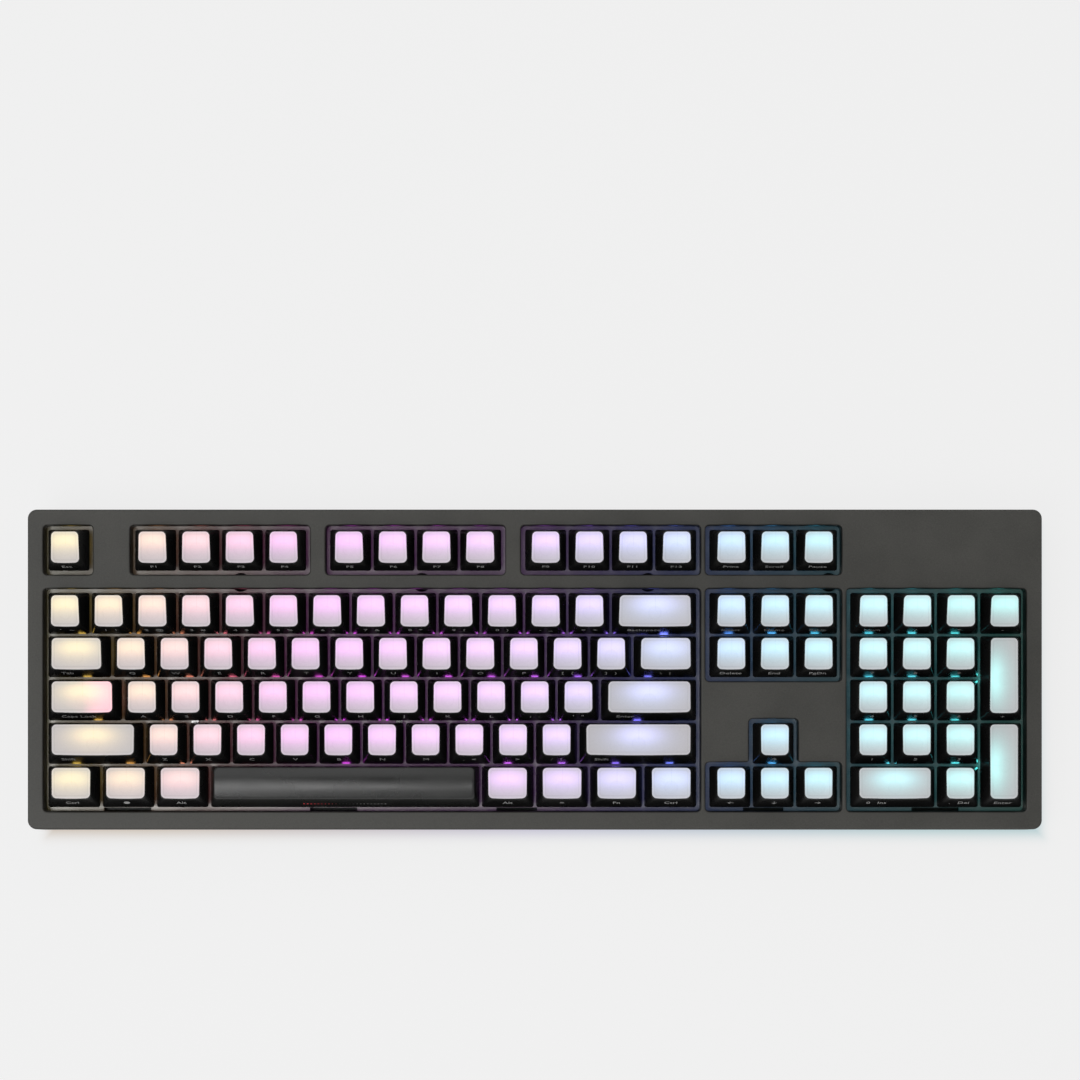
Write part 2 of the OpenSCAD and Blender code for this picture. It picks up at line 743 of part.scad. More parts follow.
// the space bar is one black moulding with a crowned top
module space_bar() {
    key = SPACE[0];
    p = PROFILES[key[1]];
    low = p[2] - 1.7;
    crown = 1.2;
    back = key_depth(key) / 2 - p[0];
    front = -key_depth(key) / 2 + p[1];
    steps = 10;
    color([0.1, 0.1, 0.1]) on_slope() at_key(key) {
        difference() {
            translate([0, 0, cap_base]) intersection() {
                cap_shape(key, 0, 0, 0);
                rotate([90, 0, 90]) linear_extrude(key_width(key) + 2, center = true)
                    polygon(concat([[-key_depth(key) / 2, 0], [key_depth(key) / 2, 0]],
                        [for (i = [0:steps]) [back + (front - back) * i / steps,
                            low + crown * sin(180 * i / steps)]]));
            }
            translate([0, 0, cap_base]) intersection() {
                cap_shape(key, cap_wall, 0, -1);
                block([key_width(key), key_depth(key)], -2, low - 1.2);
            }
        }
        difference() {
            for (u = [0, -space_reach, space_reach])
                translate([u, 0, 0]) rod(socket_radius, socket_bottom, cap_base + low - 1);
            for (u = [0, -space_reach, space_reach])
                translate([u, 0, 0]) cross(socket_bottom - 1, socket_bottom + socket_depth, cross_clearance);
        }
        stem_and_sliders(key);
    }
}

// ---- screws and feet ----

module plate_screws() {
    color([0.7, 0.7, 0.7]) on_slope() for (p = PLATE_SCREWS) translate([p[0], p[1], 0]) difference() {
        union() {
            rod(plate_screw_head[0], 0, plate_screw_head[1]);
            rod(plate_screw_radius, -plate_screw_length, 0.5);
        }
        translate([0, 0, plate_screw_head[1] - 0.6]) cylinder(r = 0.8, h = 1, $fn = 6);
    }
}

module case_screws() {
    seat = case_post_bottom - tube_seat;
    color([0.2, 0.2, 0.2]) on_slope() for (p = CASE_SCREWS) translate([p[0], p[1], 0]) difference() {
        union() {
            rod(case_screw_head[0], seat - case_screw_head[1], seat);
            rod(case_screw_radius, seat - 0.5, seat + 10);
        }
        translate([0, 0, seat - case_screw_head[1] - 1]) cylinder(r = 1.2, h = 2, $fn = 6);
    }
}

module rubber_feet() {
    color([0.08, 0.08, 0.08]) for (p = rubber_pad_places) linear_extrude(rubber_height)
        rounded_rectangle(p[0] - rubber_pad[0] / 2, p[0] + rubber_pad[0] / 2,
            p[1] - rubber_pad[1] / 2, p[1] + rubber_pad[1] / 2, 3);
}

module foot_hinge_pins() {
    color([0.7, 0.7, 0.7]) for (side = [-1, 1])
        translate([side * foot_x, foot_hinge_y, hinge_z]) rotate([0, 90, 0])
            cylinder(r = hinge_pin_radius, h = foot_pocket[0] + 2, center = true);
}

// a flip-out foot in its stored place, pointing at the typist
module flip_foot(side) {
    low = hinge_z - hinge_radius;
    color(case_grey) translate([side * foot_x, 0, 0]) difference() {
        union() {
            translate([0, foot_hinge_y, hinge_z]) rotate([0, 90, 0])
                cylinder(r = hinge_radius, h = foot_width, center = true);
            translate([-foot_width / 2, foot_hinge_y - foot_length, low])
                cube([foot_width, foot_length, foot_thickness]);
        }
        translate([0, foot_hinge_y, hinge_z]) rotate([0, 90, 0])
            cylinder(r = hinge_pin_radius + hinge_play, h = foot_width + 2, center = true);
        // finger recess
        translate([-8, foot_hinge_y - foot_length + 4, low - 1]) cube([16, 6, 2.2]);
    }
}

// rubber strip on a foot's tip
module foot_pad_strip(side) {
    color([0.08, 0.08, 0.08])
        translate([side * foot_x - foot_pad[0] / 2, foot_hinge_y - foot_length - foot_pad[1],
            hinge_z - hinge_radius + 0.5])
            cube(foot_pad);
}

module flip_foot_left() { flip_foot(-1); }
module flip_foot_right() { flip_foot(1); }
module flip_foot_left_pad() { foot_pad_strip(-1); }
module flip_foot_right_pad() { foot_pad_strip(1); }

top_case();
bottom_case();
switch_plate();
circuit_board();
controller_chip();
usb_board();
usb_socket();
board_lead();
switch_lower_housings();
switch_upper_housings();
switch_springs();
switch_contacts();
backlight_leds();
stabilizer_housings();
stabilizer_wires();
case_screws();
plate_screws();
rubber_feet();
foot_hinge_pins();
flip_foot_left();
flip_foot_right();
flip_foot_left_pad();
flip_foot_right_pad();
escape_cap();
escape_window();
function_caps();
function_windows();
system_caps();
system_windows();
number_caps();
number_windows();
backspace_cap();
backspace_window();
upper_letter_caps();
upper_letter_windows();
home_letter_caps();
home_letter_windows();
enter_cap();
enter_window();
left_shift_cap();
left_shift_window();
lower_letter_caps();
lower_letter_windows();
right_shift_cap();
right_shift_window();
space_bar();
modifier_caps();
modifier_windows();
navigation_caps();
navigation_windows();
arrow_caps();
arrow_windows();
numpad_caps();
numpad_windows();
numpad_plus_cap();
numpad_plus_window();
numpad_enter_cap();
numpad_enter_window();
numpad_zero_cap();
numpad_zero_window();
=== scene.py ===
"""A full-size mechanical keyboard with lit keycaps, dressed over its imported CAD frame.

Lengths are millimetres in the slope frame unless a name says otherwise: u runs to the right, v climbs
the slope away from the typist and w is square to the switch plate, whose upper face is w = 0.
"""

import json
import math

import bmesh
import bpy
import numpy as np
from mathutils import Matrix, Vector
from mathutils.geometry import tessellate_polygon


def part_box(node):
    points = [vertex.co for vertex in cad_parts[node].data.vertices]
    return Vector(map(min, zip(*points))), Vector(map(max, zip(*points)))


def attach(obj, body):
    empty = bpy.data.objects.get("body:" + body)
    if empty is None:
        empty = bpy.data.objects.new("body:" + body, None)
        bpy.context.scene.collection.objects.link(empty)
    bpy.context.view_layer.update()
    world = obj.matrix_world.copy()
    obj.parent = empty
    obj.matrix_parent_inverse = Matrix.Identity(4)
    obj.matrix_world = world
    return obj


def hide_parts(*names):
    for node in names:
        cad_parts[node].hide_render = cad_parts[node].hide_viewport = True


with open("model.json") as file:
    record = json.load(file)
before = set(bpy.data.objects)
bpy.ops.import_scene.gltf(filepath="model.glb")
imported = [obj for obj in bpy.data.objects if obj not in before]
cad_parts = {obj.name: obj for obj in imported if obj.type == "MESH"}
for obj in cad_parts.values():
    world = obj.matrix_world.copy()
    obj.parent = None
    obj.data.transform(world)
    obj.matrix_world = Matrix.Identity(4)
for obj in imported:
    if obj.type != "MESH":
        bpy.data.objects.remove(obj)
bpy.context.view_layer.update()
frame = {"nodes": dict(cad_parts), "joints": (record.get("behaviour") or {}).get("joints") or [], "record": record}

MM = 0.001
NODES = frame["nodes"]
BODIES = frame["record"]["behaviour"]["bodies"]

# ---- the slope frame, read from the CAD ----

press = next(j["axis"] for j in frame["joints"] if j["name"] == "space_travel")
NORMAL = -Vector(press).normalized()
CLIMB = NORMAL.cross(Vector((1, 0, 0)))
SLOPE_ANGLE = math.atan2(CLIMB.z, CLIMB.y)


def node_points(node):
    """The corners of a CAD node's mesh, in metres."""
    return np.array([v.co for v in NODES[node].data.vertices], float)


PLATE_HEIGHT = (node_points("switch_plate") @ np.array(NORMAL)).max() / NORMAL.z
AXES = Matrix((Vector((1, 0, 0)), CLIMB, NORMAL)).transposed().to_4x4()
SLOPE = Matrix.Translation((0, 0, PLATE_HEIGHT)) @ AXES @ Matrix.Scale(MM, 4)
UNSLOPE = SLOPE.inverted()


def to_slope(points):
    """Points in metres as slope millimetres."""
    m = np.array(UNSLOPE)
    return points @ m[:3, :3].T + m[:3, 3]


def slope_box(node):
    """A CAD node's lowest and highest corners in slope millimetres."""
    points = to_slope(node_points(node))
    return points.min(0), points.max(0)


# ---- layout, in key units, as the CAD has it ----

CAP_LOW, CAP_HIGH = slope_box("escape_cap")
LAYOUT_UNITS = 22.5  # key units from the left edge of the keys to the right
PITCH = -(CAP_LOW[0] + CAP_HIGH[0]) / 2 / (LAYOUT_UNITS / 2 - 0.5)
CAP_GAP = PITCH - (CAP_HIGH[0] - CAP_LOW[0])
ROW_NODES = ["function_caps", "number_caps", "upper_letter_caps", "home_letter_caps",
             "lower_letter_caps", "modifier_caps"]
ROW_V = [sum(slope_box(node)[i][1] for i in (0, 1)) / 2 for node in ROW_NODES]
CAP_BASE = 6.1  # height of a keycap's base above the plate
CAP_SIDE_INSET = 2.75  # how much each side leans in from base to top
CAP_WALL = 1.4
# lean of the back wall, lean of the front wall, height at the back, height at the front
PROFILES = [(1.05, 3.05, 11.4, 9.9), (1.05, 3.05, 11.4, 9.9), (0.6, 3.4, 9.8, 8.9),
            (0.5, 3.6, 9.3, 8.9), (0.25, 4.1, 8.9, 9.3), (0.15, 4.2, 8.9, 9.3)]


def run(row, start, names, width=1.0, depth=1):
    """Keys side by side in a row: name, row, left edge, width and depth in key units."""
    return [(name, row, start + i * width, width, depth) for i, name in enumerate(names)]


KEYS = {
    "escape": run(0, 0, ["escape"]),
    "function_keys": [k for i, start in enumerate((2, 6.5, 11))
                      for k in run(0, start, [f"f{4 * i + n}" for n in (1, 2, 3, 4)])],
    "system_keys": run(0, 15.25, ["print", "scroll", "pause"]),
    "number_keys": run(1, 0, ["grave", *"1234567890", "minus", "equals"]),
    "backspace": run(1, 13, ["backspace"], 2),
    "upper_letter_keys": run(2, 0, ["tab"], 1.5)
    + run(2, 1.5, [*"qwertyuiop", "left_bracket", "right_bracket"]) + run(2, 13.5, ["backslash"], 1.5),
    "home_letter_keys": run(3, 0, ["caps_lock"], 1.75) + run(3, 1.75, [*"asdfghjkl", "semicolon", "quote"]),
    "enter": run(3, 12.75, ["enter"], 2.25),
    "left_shift": run(4, 0, ["left_shift"], 2.25),
    "lower_letter_keys": run(4, 2.25, [*"zxcvbnm", "comma", "period", "slash"]),
    "right_shift": run(4, 12.25, ["right_shift"], 2.75),
    "space": run(5, 3.75, ["space"], 6.25),
    "modifier_keys": run(5, 0, ["left_control", "left_system", "left_alt"], 1.25)
    + run(5, 10, ["right_alt", "menu", "layer", "right_control"], 1.25),
    "navigation_keys": run(1, 15.25, ["insert", "home", "page_up"])
    + run(2, 15.25, ["delete", "end", "page_down"]),
    "arrow_keys": run(4, 16.25, ["up"]) + run(5, 15.25, ["left", "down", "right"]),
    "numpad_keys": run(1, 18.5, ["num_lock", "divide", "multiply", "subtract"])
    + [k for row in (2, 3, 4) for k in run(row, 18.5, [f"pad_{3 * (4 - row) + n}" for n in (1, 2, 3)])]
    + run(5, 20.5, ["pad_point"]),
    "numpad_plus": run(2, 21.5, ["pad_plus"], depth=2),
    "numpad_enter": run(4, 21.5, ["pad_enter"], depth=2),
    "numpad_zero": run(5, 18.5, ["pad_0"], 2),
}

# generic legends for the front faces; a key that isn't here shows its own name in capitals
LEGENDS = {
    "escape": "Esc", "print": "Print", "scroll": "Scroll", "pause": "Pause", "grave": "`   ~",
    "minus": "-   _", "equals": "=   +", "backspace": "Backspace", "tab": "Tab",
    "left_bracket": "[   {", "right_bracket": "]   }", "backslash": "\\   |", "caps_lock": "Caps Lock",
    "semicolon": ";   :", "quote": "'   \"", "enter": "Enter", "left_shift": "Shift",
    "comma": ",   <", "period": ".   >", "slash": "/   ?", "right_shift": "Shift", "space": "",
    "left_control": "Ctrl", "left_system": "●", "left_alt": "Alt", "right_alt": "Alt",
    "menu": "=", "layer": "Fn", "right_control": "Ctrl", "insert": "Insert", "home": "Home",
    "page_up": "PgUp", "delete": "Delete", "end": "End", "page_down": "PgDn", "up": "↑",
    "left": "←", "down": "↓", "right": "→", "num_lock": "Num", "divide": "/",
    "multiply": "*", "subtract": "-", "pad_plus": "+", "pad_enter": "Enter", "pad_0": "0   Ins",
    "pad_point": ".   Del",
}
LEGENDS.update({digit: f"{digit}   {mark}" for digit, mark in zip("1234567890", "!@#$%^&*()")})
LEGENDS.update({f"pad_{n}": str(n) for n in range(1, 10)})
# these wide keys carry their legend near the left end
LEGENDS_AT_LEFT = ("tab", "caps_lock", "left_shift", "right_shift", "backspace", "enter", "pad_0")

# light added by the backlight, from the left edge of the keys to the right, at even steps
LAMP_COLOURS = [
    (0.83, 0.74, 0.20), (0.92, 0.64, 0.26), (0.92, 0.36, 0.56), (0.94, 0.25, 0.98),
    (0.92, 0.37, 0.99), (0.88, 0.42, 1.05), (0.56, 0.50, 1.12), (0.37, 0.70, 1.12),
    (0.30, 0.89, 1.03), (0.38, 0.98, 1.04), (0.27, 0.99, 0.93),
]


def lamp_colour(u):
    """The backlight's colour at a place along the keyboard."""
    at = (u / (LAYOUT_UNITS * PITCH) + 0.5) * (len(LAMP_COLOURS) - 1)
    at = min(max(at, 0), len(LAMP_COLOURS) - 1.001)
    i = int(at)
    return [a + (b - a) * (at - i) for a, b in zip(LAMP_COLOURS[i], LAMP_COLOURS[i + 1])]


class Key:
    """One keycap's sizes in slope millimetres, measured from the middle of its base."""

    def __init__(self, name, row, left, width, depth):
        self.name, self.row = name, row
        self.u = (left + width / 2 - LAYOUT_UNITS / 2) * PITCH
        self.v = ROW_V[row] - (depth - 1) / 2 * PITCH
        self.half_width = (width * PITCH - CAP_GAP) / 2
        self.half_depth = (depth * PITCH - CAP_GAP) / 2
        self.width, self.upright = width, depth > width
        self.long = max(width, depth) >= 2
        back_lean, front_lean, self.back_height, self.front_height = PROFILES[row]
        self.back, self.front = self.half_depth - back_lean, -self.half_depth + front_lean
        self.lean = CAP_SIDE_INSET / ((self.back_height + self.front_height) / 2)

    def top(self, v):
        """Height of the sloping top, before it is dished."""
        share = (v - self.front) / (self.back - self.front)
        return self.front_height + (self.back_height - self.front_height) * share


# ---- materials ----

LAMP_STRENGTH = 14.0
LAMP_DEPTH = 2.6  # power that deepens the lamps' own colours
GLOW = 0.60  # strength of the light in the milky tops
MILKY_WHITE = (0.605, 0.585, 0.60)
LAMP_V = 4.2  # how far a lamp stands behind the middle of its key
STEM_SHADOW = (1.6, 3.6)  # radii between which the shadow of the switch's stem fades
SOCKET_SHADOW_RADIUS = 2.7  # radius of the faint ring of painted shadow that the socket casts in the top
RIB_SHADOW_X = 0.2  # place of the faint upright line of painted shadow from the stem and ribs inside, right of the middle


class Shader:
    """Builds one procedural material around a Principled node."""

    def __init__(self, name, **settings):
        self.mat = bpy.data.materials.new(name)
        self.mat.use_nodes = True
        self.tree = self.mat.node_tree
        self.bsdf = self.tree.nodes["Principled BSDF"]
        for socket, value in settings.items():
            self.bsdf.inputs[socket.replace("_", " ")].default_value = value

    def node(self, kind, **settings):
        n = self.tree.nodes.new(kind)
        for name, value in settings.items():
            setattr(n, name, value)
        return n

    def link(self, source, target):
        self.tree.links.new(source, target)
        return target

    def put(self, value, socket):
        """Sets a socket to a constant or links it to an output."""
        if isinstance(value, bpy.types.NodeSocket):
            self.link(value, socket)
        else:
            socket.default_value = value

    def place(self, stretch=(1, 1, 1)):
        """Object coordinates, in metres from the keyboard's origin, stretched."""
        coordinates = self.node("ShaderNodeTexCoord")
        mapping = self.node("ShaderNodeMapping")
        mapping.inputs["Scale"].default_value = stretch
        self.link(coordinates.outputs["Object"], mapping.inputs["Vector"])
        return mapping.outputs["Vector"]

    def noise(self, size, detail=3.0, stretch=(1, 1, 1)):
        """Noise whose largest features are about size metres."""
        n = self.node("ShaderNodeTexNoise")
        n.inputs["Scale"].default_value = 1 / size
        n.inputs["Detail"].default_value = detail
        self.link(self.place(stretch), n.inputs["Vector"])
        return n.outputs["Fac"]

    def attribute(self, name):
        """A value that the mesh stores at its points."""
        return self.node("ShaderNodeAttribute", attribute_name=name)

    def spread(self, value, low, high, new_low=0.0, new_high=1.0, smooth=False):
        """Maps low..high to new_low..new_high and stops there."""
        n = self.node("ShaderNodeMapRange")
        n.interpolation_type = "SMOOTHSTEP" if smooth else "LINEAR"
        self.link(value, n.inputs["Value"])
        for socket, v in zip(("From Min", "From Max", "To Min", "To Max"), (low, high, new_low, new_high)):
            n.inputs[socket].default_value = v
        return n.outputs["Result"]

    def maths(self, operation, a, b=0.0):
        n = self.node("ShaderNodeMath", operation=operation)
        self.put(a, n.inputs[0])
        self.put(b, n.inputs[1])
        return n.outputs["Value"]

    def bell(self, value, middle, width):
        """1 at the middle, falling off smoothly over about width."""
        away = self.maths("DIVIDE", self.maths("SUBTRACT", value, middle), width)
        return self.maths("POWER", math.e, self.maths("MULTIPLY", self.maths("MULTIPLY", away, away), -1.0))

    def blend(self, share, a, b, kind="MIX"):
        """Mixes two colours."""
        n = self.node("ShaderNodeMix", data_type="RGBA", blend_type=kind)
        self.put(share, n.inputs[0])
        self.put((*a, 1) if isinstance(a, tuple) else a, n.inputs[6])
        self.put((*b, 1) if isinstance(b, tuple) else b, n.inputs[7])
        return n.outputs[2]

    def grey(self, value):
        """A number as a colour."""
        return self.blend(value, (0.0, 0.0, 0.0), (1.0, 1.0, 1.0))

    def bump(self, height, distance):
        """A relief up to distance metres deep."""
        n = self.node("ShaderNodeBump")
        n.inputs["Distance"].default_value = distance
        self.link(height, n.inputs["Height"])
        self.link(n.outputs["Normal"], self.bsdf.inputs["Normal"])

    def finish(self, **sockets):
        """Sets or links the Principled node's sockets and gives the material."""
        for socket, value in sockets.items():
            self.put(value, self.bsdf.inputs[socket.replace("_", " ")])
        return self.mat


def lamp_ramp(s):
    """The lamps' own deep colours, which change along the keyboard."""
    split = s.node("ShaderNodeSeparateXYZ")
    s.link(s.place(), split.inputs[0])
    half = LAYOUT_UNITS * PITCH / 2 * MM
    ramp = s.node("ShaderNodeValToRGB")
    s.link(s.spread(split.outputs["X"], -half, half), ramp.inputs["Fac"])
    stops = ramp.color_ramp.elements
    while len(stops) < len(LAMP_COLOURS):
        stops.new(0.5)
    for i, colour in enumerate(LAMP_COLOURS):
        stops[i].position = i / (len(LAMP_COLOURS) - 1)
        stops[i].color = (*[0.02 + 0.98 * c ** LAMP_DEPTH for c in colour], 1)
    return ramp.outputs["Color"]


def grained(name, dark, light, grain, roughness, depth, metallic=0.0, specular=0.5, stretch=(1, 1, 1),
            shaded_edge_tone=1.0, lamp_glow=0.0):
    """A moulded, cast or rolled finish: two close tones, a grain and uneven gloss.

    shaded_edge_tone is how bright the colour is where the edge attribute is 1: a painted shade on the rounded
    edges and the walls past them. lamp_glow is the light that the lamps leave on the surface, painted in as a
    glow."""
    s = Shader(name, Metallic=metallic, Specular_IOR_Level=specular)
    grain_noise = s.noise(grain, 4, stretch)
    patch = s.noise(grain * 60, 3)
    tone = s.maths("ADD", s.maths("MULTIPLY", grain_noise, 0.5), s.maths("MULTIPLY", patch, 0.5))
    colour = s.blend(s.spread(tone, 0.35, 0.65), dark, light)
    # painted shade: the colour darkens as the edge attribute rises to 1
    edge = s.attribute("edge").outputs["Fac"]
    colour = s.blend(1.0, colour, s.grey(s.spread(edge, 0.15, 0.9, 1.0, shaded_edge_tone)), "MULTIPLY")
    gloss = s.spread(patch, 0.35, 0.65, roughness - 0.05, roughness + 0.05)
    s.bump(grain_noise, depth)
    # painted light: lamp_glow makes the surface glow faintly in the lamps' colours
    if lamp_glow:
        s.finish(Emission_Color=lamp_ramp(s), Emission_Strength=lamp_glow)
    return s.finish(Base_Color=colour, Roughness=gloss)


def milky_plastic():
    """Light-passing white tops: the lamp's glow, a painted rim highlight and painted shadows of wall, socket, ribs
    and stem.

    The spot attribute is the place on the top in millimetres and edge the distance from its rim."""
    s = Shader("milky_plastic", Specular_IOR_Level=0.3)
    spot = s.node("ShaderNodeSeparateXYZ")
    s.link(s.attribute("spot").outputs["Vector"], spot.inputs[0])
    x, y = spot.outputs["X"], spot.outputs["Y"]
    edge = s.attribute("edge").outputs["Fac"]
    away = s.maths("SQRT", s.maths("ADD", s.maths("MULTIPLY", x, x), s.maths("MULTIPLY", y, y)))
    past_stem = s.spread(away, *STEM_SHADOW, 0.82, 1.0, smooth=True)
    near = s.maths("MULTIPLY", s.maths("MULTIPLY", s.bell(y, LAMP_V, 3.9), s.bell(x, 0.0, 9.5)), past_stem)
    far = s.maths("MULTIPLY", s.bell(y, 2.0, 7.0), s.bell(x, 0.0, 15.0))
    # rim is 1 along the top's rim, where the painted highlight lies, and 0 further in
    rim = s.spread(edge, 0.3, 0.65, 1.0, 0.0)
    # painted shadow of the stem and ribs inside: a faint upright dark line in the upper half
    rib_shadow = s.maths("MULTIPLY", s.bell(x, RIB_SHADOW_X, 0.16), s.spread(y, 0.5, 2.5, smooth=True))
    # painted shade: a thin dark line 1.15 mm in from the rim, over the cap's inner wall
    shade = s.maths("MULTIPLY", s.bell(edge, 1.15, 0.13), 0.12)
    shade = s.maths("ADD", shade, s.maths("MULTIPLY", rib_shadow, 0.06))
    # painted shadow of the socket: a faint dark ring
    shade = s.maths("ADD", shade, s.maths("MULTIPLY", s.bell(away, SOCKET_SHADOW_RADIUS, 0.35), 0.025))
    shade = s.maths("SUBTRACT", 1.0, shade)
    speck = s.spread(s.noise(0.0006, 2), 0.3, 0.7)
    white = s.blend(speck, MILKY_WHITE, tuple(1.05 * c for c in MILKY_WHITE))
    # painted highlight: the white is brighter along the rim
    white = s.blend(s.maths("MULTIPLY", rim, 0.7), white, tuple(1.25 * c for c in MILKY_WHITE))
    white = s.blend(1.0, white, s.grey(shade), "MULTIPLY")
    lit = s.maths("MULTIPLY", shade, s.spread(rim, 0, 1, 1.0, 0.85))
    lamp = s.blend(1.0, s.grey(s.maths("MULTIPLY", near, lit)), s.attribute("lamp").outputs["Color"],
                   "MULTIPLY")
    beside = s.blend(1.0, s.grey(s.maths("MULTIPLY", far, lit)), s.attribute("beside").outputs["Color"],
                     "MULTIPLY")
    light = s.blend(1.0, s.blend(1.0, lamp, beside, "ADD"), s.attribute("spill").outputs["Color"], "ADD")
    s.bump(s.noise(0.0004, 2), 0.00001)
    return s.finish(Base_Color=white, Roughness=0.45, Emission_Color=light, Emission_Strength=GLOW)


def lit_lamp():
    """The lamps under the keys, whose colour changes along the keyboard."""
    s = Shader("lit_lamp", Roughness=0.3)
    lens = s.spread(s.noise(0.0008, 1), 0.3, 0.7, 0.8, 1.0)
    colour = s.blend(lens, (0.4, 0.4, 0.4), lamp_ramp(s))
    facing = s.node("ShaderNodeSeparateXYZ")
    s.link(s.node("ShaderNodeTexCoord").outputs["Normal"], facing.inputs[0])
    colour = s.blend(1.0, colour, s.grey(s.spread(facing.outputs["Z"], 0.1, 0.95, 0.35, 1.0)), "MULTIPLY")
    return s.finish(Base_Color=(0.8, 0.8, 0.75, 1), Emission_Color=colour, Emission_Strength=LAMP_STRENGTH)


def dotted_print():
    """Red dots with a painted glow that fade towards the middle, then grey ones that grow towards the right."""
    s = Shader("dotted_print", Roughness=0.5)
    along = s.attribute("along").outputs["Fac"]
    red = s.spread(along, 0.0, 0.42, 1.0, 0.0)
    grey = s.spread(along, 0.55, 1.0, 0.0, 1.0)
    speck = s.spread(s.noise(0.0003, 2), 0.3, 0.7, 0.85, 1.0)
    colour = s.blend(s.maths("MULTIPLY", grey, speck), (0.01, 0.01, 0.01), (0.34, 0.34, 0.34))
    colour = s.blend(s.maths("MULTIPLY", red, speck), colour, (0.55, 0.06, 0.07))
    # painted light: the red dots glow faintly red
    light = s.blend(red, (0, 0, 0), (0.8, 0.05, 0.08))
    return s.finish(Base_Color=colour, Emission_Color=light, Emission_Strength=0.35)


# the case is darkened on its rounded edges, side walls and opening walls: painted shade
CASE = grained("case_plastic", (0.056, 0.0555, 0.0505), (0.080, 0.0785, 0.071), 0.0005, 0.50, 0.00004,
               specular=0.35, shaded_edge_tone=0.25)
KEY_BLACK = grained("key_black", (0.006, 0.006, 0.006), (0.010, 0.010, 0.010), 0.0003, 0.26, 0.000012,
                    specular=0.4)
SPACE_BLACK = grained("space_bar", (0.009, 0.0095, 0.009), (0.015, 0.0155, 0.0145), 0.00045, 0.28, 0.00003,
                      specular=0.65)
MILKY = milky_plastic()
LEGEND = grained("legend_print", (0.34, 0.34, 0.34), (0.44, 0.44, 0.43), 0.0002, 0.6, 0.000005)
# the plate glows faintly in the lamps' colours: painted light
PLATE = grained("plate_metal", (0.215, 0.213, 0.203), (0.285, 0.28, 0.268), 0.0004, 0.33, 0.00001,
                metallic=0.8, stretch=(0.08, 1, 1), lamp_glow=0.028)
HOUSING = grained("housing_plastic", (0.018, 0.018, 0.019), (0.028, 0.028, 0.029), 0.0004, 0.4, 0.00001)
STEEL = grained("bright_steel", (0.55, 0.55, 0.55), (0.68, 0.68, 0.67), 0.0003, 0.25, 0.000006,
                metallic=1.0)
SOCKET_STEEL = grained("socket_steel", (0.48, 0.48, 0.47), (0.62, 0.61, 0.60), 0.0005, 0.3, 0.00001,
                       metallic=1.0)
BRASS = grained("contact_brass", (0.55, 0.38, 0.14), (0.68, 0.48, 0.2), 0.0003, 0.3, 0.000006, metallic=1.0)
BLACK_SCREW = grained("screw_black", (0.02, 0.02, 0.02), (0.04, 0.04, 0.04), 0.0003, 0.35, 0.00001,
                      metallic=0.7)
RUBBER = grained("rubber", (0.012, 0.012, 0.012), (0.022, 0.022, 0.022), 0.0006, 0.85, 0.00006,
                 specular=0.2)
BOARD = grained("board", (0.006, 0.012, 0.010), (0.012, 0.030, 0.022), 0.0025, 0.35, 0.00002,
                stretch=(1, 0.2, 1))
CHIP = grained("chip", (0.010, 0.010, 0.011), (0.018, 0.018, 0.019), 0.0004, 0.5, 0.00001)
LEAD = grained("lead", (0.55, 0.53, 0.50), (0.70, 0.68, 0.64), 0.001, 0.5, 0.00002, stretch=(1, 0.1, 0.1))
LAMP = lit_lamp()
STEM = grained("stem_plastic", (0.014, 0.014, 0.015), (0.022, 0.022, 0.023), 0.0004, 0.35, 0.00001)
DOTS = dotted_print()
CAD_FINISHES = {
    "bottom_case": CASE, "flip_foot_left": CASE, "flip_foot_right": CASE, "switch_plate": PLATE,
    "circuit_board": BOARD, "usb_board": BOARD, "controller_chip": CHIP, "usb_socket": SOCKET_STEEL,
    "board_lead": LEAD, "switch_lower_housings": HOUSING, "switch_upper_housings": HOUSING,
    "stabilizer_housings": HOUSING, "switch_springs": STEEL, "switch_contacts": BRASS,
    "backlight_leds": LAMP, "stabilizer_wires": STEEL, "case_screws": BLACK_SCREW,
    "plate_screws": STEEL, "rubber_feet": RUBBER, "foot_hinge_pins": STEEL,
    "flip_foot_left_pad": RUBBER, "flip_foot_right_pad": RUBBER,
}


def paint_cad_nodes():
    """Gives each CAD node that stays in sight its finish."""
    for name, mat in CAD_FINISHES.items():
        for slot in NODES[name].material_slots:
            slot.material = mat


# ---- meshes ----

SHARP_DEGREES = 40
ARC_SHARE = 0.25  # of a ring's side that goes to half a corner
RING_STEPS = 8  # a ring has eight times as many points


def add_piece(name, points, faces, materials, body, replaced=(), material_of=None, values=None):
    """A new piece from slope millimetres. values are attributes: name, kind and one value a point."""
    mesh = bpy.data.meshes.new(name)
    world = np.array(SLOPE)
    points = np.asarray(points, float) @ world[:3, :3].T + world[:3, 3]
    mesh.from_pydata(points.tolist(), [], faces)
    for mat in materials:
        mesh.materials.append(mat)
    if material_of:
        mesh.polygons.foreach_set("material_index", material_of)
    for attribute, kind, data in values or []:
        layer = mesh.attributes.new(attribute, kind, "POINT")
        field = {"FLOAT": "value", "FLOAT_VECTOR": "vector", "FLOAT_COLOR": "color"}[kind]
        layer.data.foreach_set(field, np.asarray(data, np.float32).ravel())
    mesh.polygons.foreach_set("use_smooth", [True] * len(mesh.polygons))
    mesh.set_sharp_from_angle(angle=math.radians(SHARP_DEGREES))
    mesh.validate()
    obj = bpy.data.objects.new(name, mesh)
    bpy.context.scene.collection.objects.link(obj)
    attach(obj, body)
    if replaced:
        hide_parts(*replaced)
    return obj


